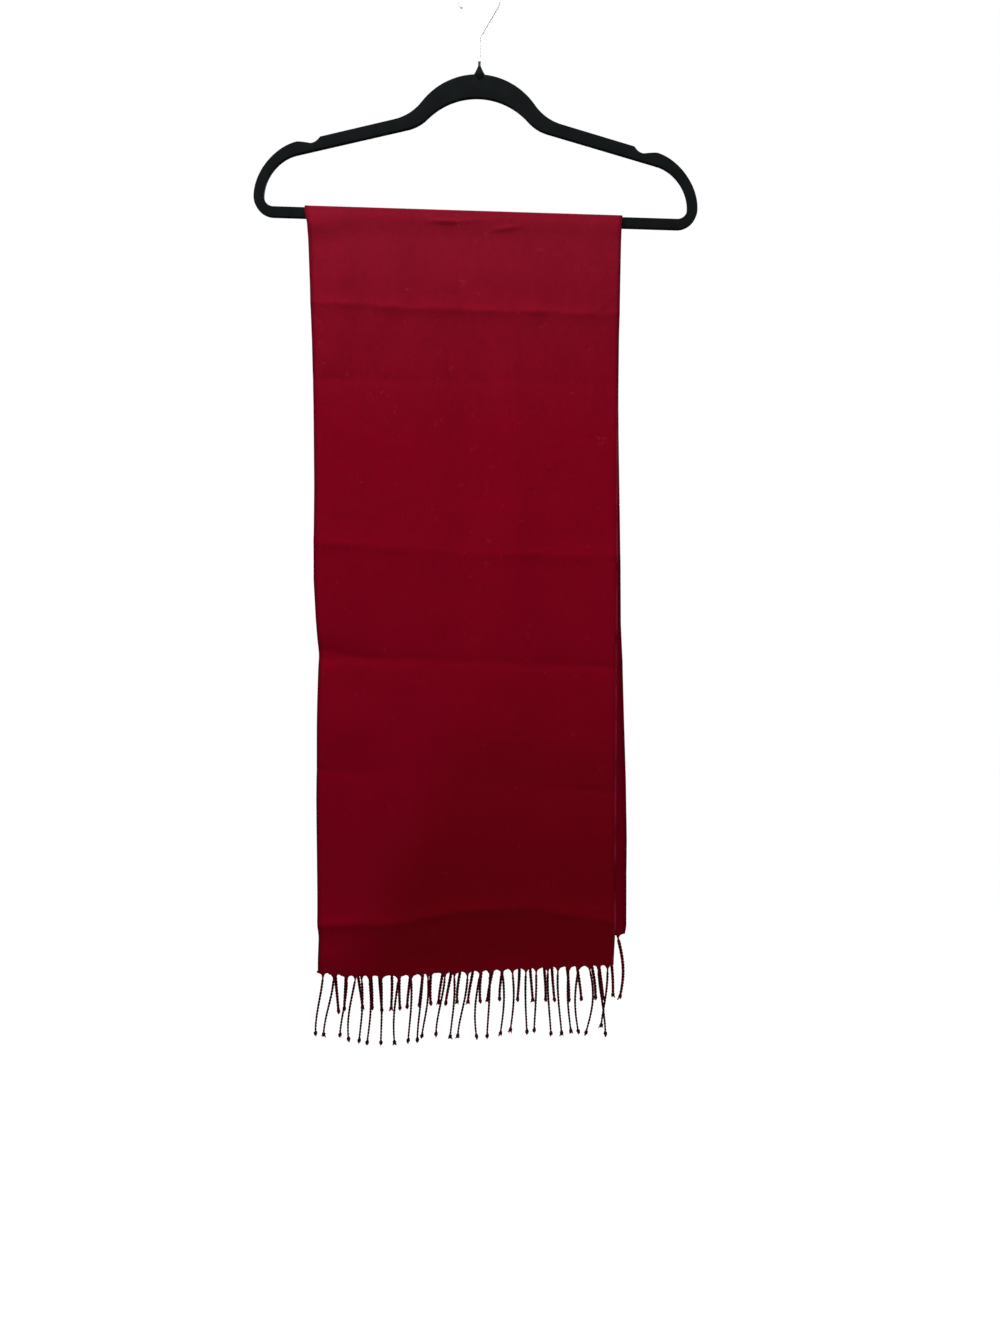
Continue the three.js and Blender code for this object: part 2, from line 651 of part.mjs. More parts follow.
function hookWire() {
  const section = new THREE.Shape(
    Array.from({ length: WIRE_SIDES }, (unused, side) => {
      const angle = (2 * Math.PI * side) / WIRE_SIDES;
      return new THREE.Vector2(Math.cos(angle), Math.sin(angle)).multiplyScalar(WIRE_RADIUS);
    }),
  );
  const wire = new THREE.ExtrudeGeometry(section, {
    steps: WIRE_STEPS,
    bevelEnabled: false,
    extrudePath: hookPath(),
  });
  return namedMesh("hook_wire", wire, "chrome");
}

function fringe(name, fall, tassels) {
  const pieces = [fall.strip(), ...tassels.map((row) => fall.tassel(row))];
  return namedMesh(name, joined(pieces), "wool");
}

const scarf = new THREE.Group();
scarf.add(
  namedMesh("scarf_over_bar", sheetBetween(overBarGrid(CLOTH_WALL), overBarGrid(0)), "wool"),
  namedMesh("scarf_front_fall", frontFall.sheet(), "wool"),
  namedMesh("scarf_back_fall", backFall.sheet(), "wool"),
  fringe("fringe_front", frontFall, FRONT_TASSELS),
  fringe("fringe_back", backFall, BACK_TASSELS),
);

const hanger = new THREE.Group();
hanger.add(hangerFrame(), hookWire());

const root = new THREE.Group();
root.add(hanger, scarf);
export default root;
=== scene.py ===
"""A fringed wool scarf folded over the bar of a slim flocked hanger.

The scene is in metres in the part's own frame: +Z is up, -Y is the front, +X is the right side as
seen from the front, and the origin is the underside of the hook's top arc. The classes keep their
sizes in millimetres and turn them into metres where a mesh is made.
"""

import logging
import math
import random
from dataclasses import dataclass, field
from enum import Enum
from typing import Any, Sequence

import bmesh
import bpy
import numpy as np
from mathutils import Matrix, Vector


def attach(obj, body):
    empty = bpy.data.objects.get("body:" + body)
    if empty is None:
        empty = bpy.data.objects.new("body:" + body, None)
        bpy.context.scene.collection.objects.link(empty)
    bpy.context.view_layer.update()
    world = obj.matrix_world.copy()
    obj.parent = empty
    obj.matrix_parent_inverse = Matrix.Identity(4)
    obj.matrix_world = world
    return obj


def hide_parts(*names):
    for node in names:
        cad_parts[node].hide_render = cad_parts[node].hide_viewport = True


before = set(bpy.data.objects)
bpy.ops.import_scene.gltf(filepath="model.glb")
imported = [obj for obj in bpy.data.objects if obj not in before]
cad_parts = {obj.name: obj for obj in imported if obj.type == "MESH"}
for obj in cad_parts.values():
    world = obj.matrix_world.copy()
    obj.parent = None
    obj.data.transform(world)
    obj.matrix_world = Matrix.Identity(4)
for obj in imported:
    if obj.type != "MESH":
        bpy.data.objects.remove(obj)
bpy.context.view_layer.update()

MM = 0.001
MERGE_DISTANCE = 1e-4
ROOT_BODY = "root"
DOWN = "down"
LOG = logging.getLogger("scarf")

# The places of the Mix node's two colour inputs and of its colour output.
MIX_LOW, MIX_HIGH, MIX_RESULT = 6, 7, 2

# One place or many at once, in millimetres or as shares.
Places = float | np.ndarray
Colour = tuple[float, float, float]
# A mask's step: the value where it is half way up, and how much the value grows over it.
Step = tuple[float, float]


class Side(Enum):
    """The two sides that the scarf hangs on, with the sign of Y there."""

    FRONT = -1
    BACK = 1


class Slot(Enum):
    """The record's material slots."""

    WOOL = "wool"
    YARN = "fringe_yarn"
    FLOCK = "velvet_flock"
    CHROME = "hook_chrome"


class Signal:
    """A number in a material's node tree. Python's operators on it add Math nodes."""

    def __init__(self, paint: "Paint", socket: bpy.types.NodeSocket) -> None:
        """Args: paint: the material under construction. socket: the output that is wrapped."""
        self.paint = paint
        self.socket = socket

    def math(self, operation: str, *others: "Signal | float") -> "Signal":
        """Joins this value and others in one Math node.

        Args:
            operation: the Math node's operation.
            others: the second and third inputs, as signals or numbers.

        Returns:
            The node's result.
        """
        sockets = dict(enumerate((self, *others)))
        node = self.paint.node("ShaderNodeMath", {"operation": operation}, sockets)
        return Signal(self.paint, node.outputs[0])

    def __add__(self, other: "Signal | float") -> "Signal":
        """Adds a value."""
        return self.math("ADD", other)

    def __mul__(self, other: "Signal | float") -> "Signal":
        """Multiplies by a value."""
        return self.math("MULTIPLY", other)

    def __sub__(self, other: "Signal | float") -> "Signal":
        """Takes a value away."""
        return self.math("SUBTRACT", other)

    def __rsub__(self, other: float) -> "Signal":
        """Takes this value from a number."""
        return self * -1.0 + other

    def __truediv__(self, other: float) -> "Signal":
        """Divides by a number."""
        return self * (1.0 / other)

    __radd__ = __add__
    __rmul__ = __mul__

    def above(self, edge: float, width: float) -> "Signal":
        """A soft step.

        Args:
            edge: the value where the step is half way up.
            width: how much the value grows over the whole step.

        Returns:
            A mask that is 0 below the step and 1 above it.
        """
        ramp = (self - (edge - width / 2)) / width
        node = self.paint.node("ShaderNodeClamp", {}, {0: ramp})
        return Signal(self.paint, node.outputs[0])

    def wave(self, period: float) -> "Signal":
        """A sine of this value that repeats at the given period."""
        return (self * (2 * math.pi / period)).math("SINE")


@dataclass(frozen=True)
class Grain:
    """A layer of noise in a finish, and what it adds there.

    Its scale is the number of patches to a unit each way, and detail the number of finer layers. It
    raises the surface by a height in millimetres, and has a share in the shade of the colour.
    """

    scale: tuple[float, float, float]
    detail: float = 2.0
    height_mm: float = 0.0
    shade: float = 0.0


@dataclass(frozen=True)
class Fibres:
    """How loose fibres catch the light: the gloss below them, and their sheen."""

    gloss: float
    sheen: float
    roughness: float
    tint: Colour

    def sockets(self) -> dict[str, Any]:
        """Returns: the shader's inputs that the fibres set, by name."""
        return {
            "Specular IOR Level": self.gloss,
            "Sheen Weight": self.sheen,
            "Sheen Roughness": self.roughness,
            "Sheen Tint": (*self.tint, 1.0),
        }


class Paint:
    """The nodes of a material or a world under construction: it makes nodes and joins them."""

    def __init__(self, owner: bpy.types.Material | bpy.types.World) -> None:
        """Args: owner: the new material or world, whose node tree is filled from empty."""
        self.owner = owner
        owner.use_nodes = True
        self.tree = owner.node_tree
        self.tree.nodes.clear()

    def node(
        self, kind: str, settings: dict[str, Any] | None = None, sockets: dict[Any, Any] | None = None
    ) -> bpy.types.Node:
        """Makes a node, sets it up and feeds it.

        Args:
            kind: the node's type.
            settings: its properties, which are set first.
            sockets: numbers, colours or links by the input's name or place.

        Returns:
            The new node.
        """
        node = self.tree.nodes.new(kind)
        for name, value in (settings or {}).items():
            setattr(node, name, value)
        for name, value in (sockets or {}).items():
            source = value.socket if isinstance(value, Signal) else value
            if isinstance(source, bpy.types.NodeSocket):
                self.tree.links.new(source, node.inputs[name])
            else:
                node.inputs[name].default_value = source
        return node

    def coordinates(self, kind: str) -> bpy.types.NodeSocket:
        """The Texture Coordinate node's output of that name, such as Object or UV."""
        return self.node("ShaderNodeTexCoord").outputs[kind]

    def split(self, vector: bpy.types.NodeSocket) -> tuple[Signal, Signal, Signal]:
        """The three numbers of a vector."""
        node = self.node("ShaderNodeSeparateXYZ", {}, {0: vector})
        return tuple(Signal(self, output) for output in node.outputs)

    def noise(self, place: Sequence[Signal | float], grain: Grain) -> Signal:
        """Soft noise from 0 to 1.

        Args:
            place: the three numbers that say where the noise is read.
            grain: how fine it is each way, and how many finer layers it has.

        Returns:
            The noise's value.
        """
        stretched = {way: part * grain.scale[way] for way, part in enumerate(place)}
        vector = self.node("ShaderNodeCombineXYZ", {}, stretched).outputs[0]
        sockets = {"Vector": vector, "Scale": 1.0, "Detail": grain.detail}
        return Signal(self, self.node("ShaderNodeTexNoise", {}, sockets).outputs[0])

    def mix(
        self, factor: Signal, low: Colour | bpy.types.NodeSocket, high: Colour | bpy.types.NodeSocket
    ) -> bpy.types.NodeSocket:
        """A colour between two colours.

        Args:
            factor: 0 for the first and 1 for the second.
            low: the first colour, as numbers or a link.
            high: the second colour.

        Returns:
            The mixed colour.
        """
        first, second = ((*c, 1.0) if isinstance(c, tuple) else c for c in (low, high))
        sockets = {0: factor, MIX_LOW: first, MIX_HIGH: second}
        return self.node("ShaderNodeMix", {"data_type": "RGBA"}, sockets).outputs[MIX_RESULT]

    def bump(self, height_mm: Signal) -> bpy.types.NodeSocket:
        """A normal from a height in millimetres."""
        sockets = {"Height": height_mm, "Strength": 1.0, "Distance": MM}
        return self.node("ShaderNodeBump", {}, sockets).outputs[0]

    def finish(self, sockets: dict[str, Any]) -> bpy.types.Material:
        """Ends the material in a Principled shader.

        Args:
            sockets: what feeds the shader's inputs, by name.

        Returns:
            The finished material.
        """
        shader = self.node("ShaderNodeBsdfPrincipled", {}, sockets)
        self.node("ShaderNodeOutputMaterial", {}, {0: shader.outputs[0]})
        return self.owner


@dataclass(frozen=True)
class WoolFinish:
    """Brushed wool cloth, woven in a fine twill that the nap half hides.

    Lengths along the cloth are taken from the front hem. The cloth is rougher near its fold over
    the bar, where a painted sheen makes it paler and pinker, and painted shade darkens it low down in
    front. Both selvedges roll back and carry painted shade, and in front the right one is frayed and
    carries a painted highlight in places.
    """

    width_mm: float
    length_mm: float
    fold_mm: float
    base: Colour = (0.241, 0.0001, 0.0114)
    deep: Colour = (0.181, 0.0001, 0.0083)
    # Painted sheen: paler, pinker colours for the cloth near its fold, where light from above would leave
    # a haze.
    painted_sheen: Colour = (0.219, 0.0057, 0.0195)
    painted_sheen_deep: Colour = (0.165, 0.0039, 0.0142)
    # Painted glint: a paler colour for the loose curled fibres, where they catch the light.
    fibre_glint: Colour = (0.36, 0.020, 0.042)
    # Painted shade along both selvedges, where the cloth rolls back.
    edge: Colour = (0.085, 0.0002, 0.0050)
    # Painted highlight for the frayed right edge of the front.
    fray_highlight: Colour = (0.31, 0.014, 0.044)
    # Painted shade: the darker colour of the cloth low down in front.
    painted_shade: Colour = (0.132, 0.0001, 0.0032)
    nap: Grain = Grain((1.3, 0.32, 0.0), 3.0, height_mm=0.28, shade=0.22)
    fuzz: Grain = Grain((1.4, 1.4, 0.0), 3.0, height_mm=0.34, shade=0.26)
    mottle: Grain = Grain((0.15, 0.08, 0.0), 4.0, height_mm=0.55, shade=0.28)
    patch: Grain = Grain((0.035, 0.02, 0.0), shade=0.24)
    curl: Grain = Grain((0.2, 0.2, 0.0), height_mm=0.3)
    curl_patch: Grain = Grain((0.07, 0.07, 0.0))
    loose: Grain = Grain((0.03, 0.03, 0.0))
    # How far the painted sheen reaches from the fold.
    painted_sheen_step_mm: Step = (110.0, 264.0)
    calm_step_mm: Step = (352.0, 484.0)
    calm_share: float = 0.66
    thread_mm: float = 0.95
    thread_height_mm: float = 0.0175
    twill_mm: float = 1.9
    twill_height_mm: float = 0.05
    uneven_step: Step = (0.5, 0.34)
    least_contrast: float = 0.35
    curl_line_step: Step = (0.03, 0.04)
    curl_patch_step: Step = (0.67, 0.06)
    fibre_glint_share: float = 0.36
    selvedge_mm: float = 3.0
    selvedge_step_mm: float = 0.8
    rib_mm: float = 1.6
    rib_height_mm: float = 0.06
    # The width of the painted shade along the selvedges, and how much of it shows.
    edge_shade_mm: float = 3.2
    edge_shade_share: float = 0.6
    # Where the frayed edge and its painted highlight lie, and how strong the highlight is.
    frayed_mm: float = 1.7
    frayed_step: Step = (0.46, 0.24)
    frayed_below_fold_mm: float = 190.0
    frayed_fade_mm: float = 60.0
    fray_highlight_share: float = 0.75
    # Where the painted shade lies: away from the left edge, its border slanting to the right higher up,
    # and only low down.
    painted_shade_side_step_mm: Step = (39.0, 60.0)
    painted_shade_slant: float = 0.4
    painted_shade_top_step_mm: Step = (215.0, 270.0)
    painted_shade_share: float = 0.75
    roughness: float = 0.86
    fuzz_roughness: float = 0.1
    fibres: Fibres = Fibres(gloss=0.04, sheen=0.07, roughness=0.3, tint=(1.0, 0.5, 0.66))

    def material(self) -> bpy.types.Material:
        """Returns: the cloth's material, which follows the cloth's own UV map."""
        paint = Paint(bpy.data.materials.new("wool_cloth"))
        across, along, _ = paint.split(paint.coordinates("UV"))
        across_mm = across * self.width_mm
        along_mm = along * self.length_mm
        place = (across_mm, along_mm, 0.0)
        nap, fuzz = paint.noise(place, self.nap), paint.noise(place, self.fuzz)
        mottle, patch = paint.noise(place, self.mottle), paint.noise(place, self.patch)
        from_fold = (along_mm - self.fold_mm).math("ABSOLUTE")
        from_middle = (across_mm - self.width_mm / 2).math("ABSOLUTE")
        rougher = 1 - from_fold.above(*self.calm_step_mm) * self.calm_share
        curls = self.curls(paint, place)
        threads = across_mm.wave(self.thread_mm) + along_mm.wave(self.thread_mm)
        twill = (across_mm + along_mm).wave(self.twill_mm)
        selvedge = from_middle.above(self.width_mm / 2 - self.selvedge_mm, self.selvedge_step_mm)
        height = (
            nap * self.nap.height_mm + fuzz * self.fuzz.height_mm + mottle * self.mottle.height_mm
            + threads * self.thread_height_mm + twill * self.twill_height_mm
            + curls * self.curl.height_mm + selvedge * along_mm.wave(self.rib_mm) * self.rib_height_mm
        ) * rougher
        uneven = (
            nap * self.nap.shade + fuzz * self.fuzz.shade
            + mottle * self.mottle.shade + patch * self.patch.shade
        ).above(*self.uneven_step)
        contrast = self.least_contrast + (1 - self.least_contrast) * rougher
        shade = 0.5 + (uneven - 0.5) * contrast
        # Painted sheen near the fold over the bar.
        painted_sheen_mask = 1 - from_fold.above(*self.painted_sheen_step_mm)
        low = paint.mix(shade, self.deep, self.base)
        cloth = paint.mix(painted_sheen_mask, low, paint.mix(shade, self.painted_sheen_deep, self.painted_sheen))
        # Painted shade low down in front, away from the left edge.
        inwards = across_mm - along_mm * self.painted_shade_slant
        below = 1 - along_mm.above(*self.painted_shade_top_step_mm)
        painted_shade_mask = inwards.above(*self.painted_shade_side_step_mm) * below
        low_shaded = paint.mix(painted_shade_mask * self.painted_shade_share, cloth, self.painted_shade)
        # Painted glint on the loose curled fibres.
        glinted = paint.mix(curls * rougher * self.fibre_glint_share, low_shaded, self.fibre_glint)
        # Painted highlight where the front's right edge is frayed.
        fray_highlight = self.frays(paint, place)
        # Painted shade along both selvedges, left out where the front's right edge is frayed.
        painted_edge_shade = from_middle.above(self.width_mm / 2 - self.edge_shade_mm, self.edge_shade_mm)
        edge_shaded = paint.mix(painted_edge_shade * (1 - fray_highlight) * self.edge_shade_share, glinted, self.edge)
        return paint.finish(
            {
                "Base Color": paint.mix(fray_highlight * self.fray_highlight_share, edge_shaded, self.fray_highlight),
                "Roughness": self.roughness + fuzz * self.fuzz_roughness,
                "Normal": paint.bump(height),
                **self.fibres.sockets(),
            }
        )

    def curls(self, paint: Paint, place: Sequence[Signal | float]) -> Signal:
        """Marks the loose fibres that lie curled on the cloth.

        Args:
            paint: the material under construction.
            place: the place across and along the cloth in millimetres.

        Returns:
            A mask that is 1 on a fibre, found where a soft noise passes its middle value.
        """
        from_line = (paint.noise(place, self.curl) - 0.5).math("ABSOLUTE")
        lines = 1 - from_line.above(*self.curl_line_step)
        return lines * paint.noise(place, self.curl_patch).above(*self.curl_patch_step)

    def frays(self, paint: Paint, place: Sequence[Signal | float]) -> Signal:
        """Marks the places where the right selvedge of the front is frayed.

        Args:
            paint: the material under construction.
            place: the place across and along the cloth in millimetres.

        Returns:
            A mask that is 1 where the edge is frayed.
        """
        across_mm, along_mm, _ = place
        outer = across_mm.above(self.width_mm - self.frayed_mm, self.frayed_mm)
        loose = paint.noise(place, self.loose).above(*self.frayed_step)
        top = along_mm.above(self.fold_mm - self.frayed_below_fold_mm, self.frayed_fade_mm)
        return outer * loose * (1 - top)


@dataclass(frozen=True)
class YarnFinish:
    """Twisted wool yarn with loose fibres: the cloth's colour at its roots, and darker below them by
    painted shade.
    """

    # The root is the cloth's colour. Base and deep are the yarn under painted shade, which darkens it
    # below the roots.
    root: Colour = (0.165, 0.0003, 0.0055)
    base: Colour = (0.072, 0.0006, 0.0048)
    deep: Colour = (0.016, 0.0004, 0.0015)
    fibre: Grain = Grain((5200.0, 5200.0, 1300.0), height_mm=0.2, shade=0.6)
    cloud: Grain = Grain((260.0, 260.0, 120.0), shade=0.4)
    uneven_step: Step = (0.5, 0.4)
    roughness: float = 0.9
    fibres: Fibres = Fibres(gloss=0.08, sheen=0.03, roughness=0.4, tint=(1.0, 0.5, 0.55))

    def material(self) -> bpy.types.Material:
        """Returns: the fringe's material, which reads Object coordinates and the depth attribute."""
        paint = Paint(bpy.data.materials.new("fringe_yarn"))
        place = paint.split(paint.coordinates("Object"))
        fibre, cloud = paint.noise(place, self.fibre), paint.noise(place, self.cloud)
        uneven = (fibre * self.fibre.shade + cloud * self.cloud.shade).above(*self.uneven_step)
        yarn = paint.mix(uneven, self.deep, self.base)
        # Painted shade: the yarn goes from the root colour at the hem to its darker colours below, by the
        # depth attribute.
        down = Signal(paint, paint.node("ShaderNodeAttribute", {"attribute_name": DOWN}).outputs["Fac"])
        return paint.finish(
            {
                "Base Color": paint.mix(down, self.root, yarn),
                "Roughness": self.roughness,
                "Normal": paint.bump(fibre * self.fibre.height_mm),
                **self.fibres.sockets(),
            }
        )


@dataclass(frozen=True)
class FlockFinish:
    """Short black flock with a brushed, slightly uneven pile."""

    base: Colour = (0.0032, 0.0042, 0.0048)
    worn: Colour = (0.0075, 0.009, 0.0098)
    pile: Grain = Grain((3400.0, 3400.0, 3400.0), height_mm=0.16, shade=0.5)
    brushed: Grain = Grain((55.0, 55.0, 55.0), 3.0, height_mm=0.1, shade=0.5)
    worn_step: Step = (0.58, 0.3)
    roughness: float = 0.92
    brushed_roughness: float = 0.06
    fibres: Fibres = Fibres(gloss=0.06, sheen=0.05, roughness=0.5, tint=(0.8, 0.86, 0.95))

    def material(self) -> bpy.types.Material:
        """Returns: the hanger's material, which reads Object coordinates."""
        paint = Paint(bpy.data.materials.new("black_flock"))
        place = paint.split(paint.coordinates("Object"))
        pile, brushed = paint.noise(place, self.pile), paint.noise(place, self.brushed)
        worn = (pile * self.pile.shade + brushed * self.brushed.shade).above(*self.worn_step)
        return paint.finish(
            {
                "Base Color": paint.mix(worn, self.base, self.worn),
                "Roughness": self.roughness + brushed * self.brushed_roughness,
                "Normal": paint.bump(pile * self.pile.height_mm + brushed * self.brushed.height_mm),
                **self.fibres.sockets(),
            }
        )


@dataclass(frozen=True)
class ChromeFinish:
    """Bright plated wire that is dark where it enters the hub."""

    plate: Colour = (0.85, 0.855, 0.87)
    dark: Colour = (0.012, 0.013, 0.015)
    drawn: Grain = Grain((900.0, 900.0, 900.0), height_mm=0.004)
    collar_step_mm: Step = (-80.3, 0.5)
    metal: float = 0.35
    dull: float = 0.62
    polish: float = 0.12
    drawn_roughness: float = 0.06

    def material(self) -> bpy.types.Material:
        """Returns: the hook's material, which reads Object coordinates."""
        paint = Paint(bpy.data.materials.new("hook_chrome"))
        place = paint.split(paint.coordinates("Object"))
        plated = (place[2] / MM).above(*self.collar_step_mm)
        drawn = paint.noise(place, self.drawn)
        return paint.finish(
            {
                "Base Color": paint.mix(plated, self.dark, self.plate),
                "Metallic": plated * self.metal,
                "Roughness": self.dull - plated * self.polish + drawn * self.drawn_roughness,
                "Normal": paint.bump(drawn * self.drawn.height_mm),
            }
        )


@dataclass(frozen=True)
class BackdropFinish:
    """A plain pale studio floor that looks evenly lit but throws little light back up."""

    colour: Colour = (0.2, 0.2, 0.2)
    glow: Colour = (0.98, 0.98, 0.98)
    bounce: Colour = (0.05, 0.05, 0.05)
    roughness: float = 0.95

    def material(self) -> bpy.types.Material:
        """Returns: the floor's material."""
        paint = Paint(bpy.data.materials.new("studio_floor"))
        seen = Signal(paint, paint.node("ShaderNodeLightPath").outputs["Is Camera Ray"])
        return paint.finish(
            {
                "Base Color": (*self.colour, 1.0),
                "Roughness": self.roughness,
                "Emission Color": paint.mix(seen, self.bounce, self.glow),
                "Emission Strength": 1.0,
            }
        )


def add_piece(
    name: str, mesh: bpy.types.Mesh, material: bpy.types.Material
) -> bpy.types.Object:
    """Puts a finished mesh in the scene as a piece of the root body.

    Args:
        name: the piece's name.
        mesh: its mesh, in place, in metres.
        material: its material.

    Returns:
        The new object, at the origin.
    """
    piece = bpy.data.objects.new(name, mesh)
    bpy.context.scene.collection.objects.link(piece)
    mesh.materials.clear()
    mesh.materials.append(material)
    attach(piece, ROOT_BODY)
    return piece


def mesh_from(bm: bmesh.types.BMesh, name: str, smooth: bool = True) -> bpy.types.Mesh:
    """Turns a bmesh into a mesh.

    Args:
        bm: the bmesh, which is freed.
        name: the mesh's name.
        smooth: whether its faces are shaded smooth.

    Returns:
        The mesh.
    """
    for face in bm.faces:
        face.smooth = smooth
    mesh = bpy.data.meshes.new(name)
    bm.to_mesh(mesh)
    bm.free()
    return mesh


@dataclass(frozen=True)
class HangerSizes:
    """The hanger's sizes in millimetres. The frame is square round the hub point, then tipped.

    The corners are the middles of the round ends below, edge is the rounding of the plate's edges,
    and gap is the clearance between the bar and the cloth.
    """

    hub_z: float = -88.2
    tilt: float = math.radians(1.75)
    thickness: float = 5.0
    edge: float = 0.8
    corner_x: float = 202.4
    corner_z: float = -129.6
    corner_outer: float = 20.0
    corner_inner: float = 9.7
    gap: float = 0.3

    def bar_top(self, x: Places) -> Places:
        """The height of the tipped bar's top edge at a place across."""
        local = self.corner_z - self.corner_inner
        centre_x = local * math.sin(self.tilt)
        centre_z = self.hub_z + local * math.cos(self.tilt)
        return centre_z - math.tan(self.tilt) * (x - centre_x)


@dataclass(frozen=True)
class Edge:
    """A row of a fall's outline: the places of its two edges at a height, in millimetres."""

    z: float
    left: float
    right: float


@dataclass(frozen=True)
class Crease:
    """A fold line across a fall, in millimetres.

    It runs from the left edge to the right through evenly spaced heights. The cloth stands out
    there, or turns in where stand is negative. The swell reaches above and below the line, softness
    rounds its crest, and crisp is the extra height of the pressed line itself, also from left to
    right.
    """

    heights: tuple[float, ...]
    stand: float
    above: float
    below: float
    crisp: tuple[float, ...] = (0.0,)
    crisp_reach: float = 3.6
    softness: float = 1.5
    drift: tuple[tuple[float, float], ...] = ((23.0, 0.7), (61.0, 0.45))
    unevenness: float = 0.3
    uneven_waves: float = 41.0

    def depth(self, share: Places, z: Places) -> Places:
        """How far the crease moves the cloth out.

        Args:
            share: the places across, from 0 at the left edge to 1 at the right.
            z: the heights.

        Returns:
            The depths in millimetres.
        """
        phase = self.heights[0]
        drift = sum(size * np.sin(waves * share + phase) for waves, size in self.drift)
        distance = z - along_row(share, self.heights) - drift
        reach = np.where(distance > 0, self.above, self.below)
        rounded = np.sqrt(distance**2 + self.softness**2) - self.softness
        broad = self.stand * np.exp(-rounded / reach)
        uneven = 1 + self.unevenness * np.sin(self.uneven_waves * share + phase)
        crisp = along_row(share, self.crisp) * uneven
        return broad + crisp * np.exp(-np.abs(distance) / self.crisp_reach)


@dataclass(frozen=True)
class Swell:
    """A soft oval rise or hollow in a fall: its middle, half sizes, turn and height."""

    x: float
    z: float
    long: float
    wide: float
    angle: float
    stand: float

    def depth(self, x: Places, z: Places) -> Places:
        """How far it moves the cloth out at the given places, in millimetres."""
        turn = math.radians(self.angle)
        along = (x - self.x) * math.cos(turn) + (z - self.z) * math.sin(turn)
        aside = (z - self.z) * math.cos(turn) - (x - self.x) * math.sin(turn)
        return self.stand * np.exp(-((along / self.long) ** 2) - (aside / self.wide) ** 2)


@dataclass(frozen=True)
class Tassel:
    """One tassel: its root and tip across, its tip's height, its bow and how far it hangs ahead."""

    root: float
    tip: float
    z: float
    bow: float
    ahead: float


def along_row(share: Places, values: Sequence[float]) -> Places:
    """The value at a share across, between evenly spaced values."""
    return np.interp(share, np.linspace(0.0, 1.0, len(values)), values)


def ramp(value: Places, low: float, high: float) -> Places:
    """A smooth step from 0 at low to 1 at high, for numbers or arrays."""
    share = np.clip((value - low) / (high - low), 0.0, 1.0)
    return share * share * (3 - 2 * share)


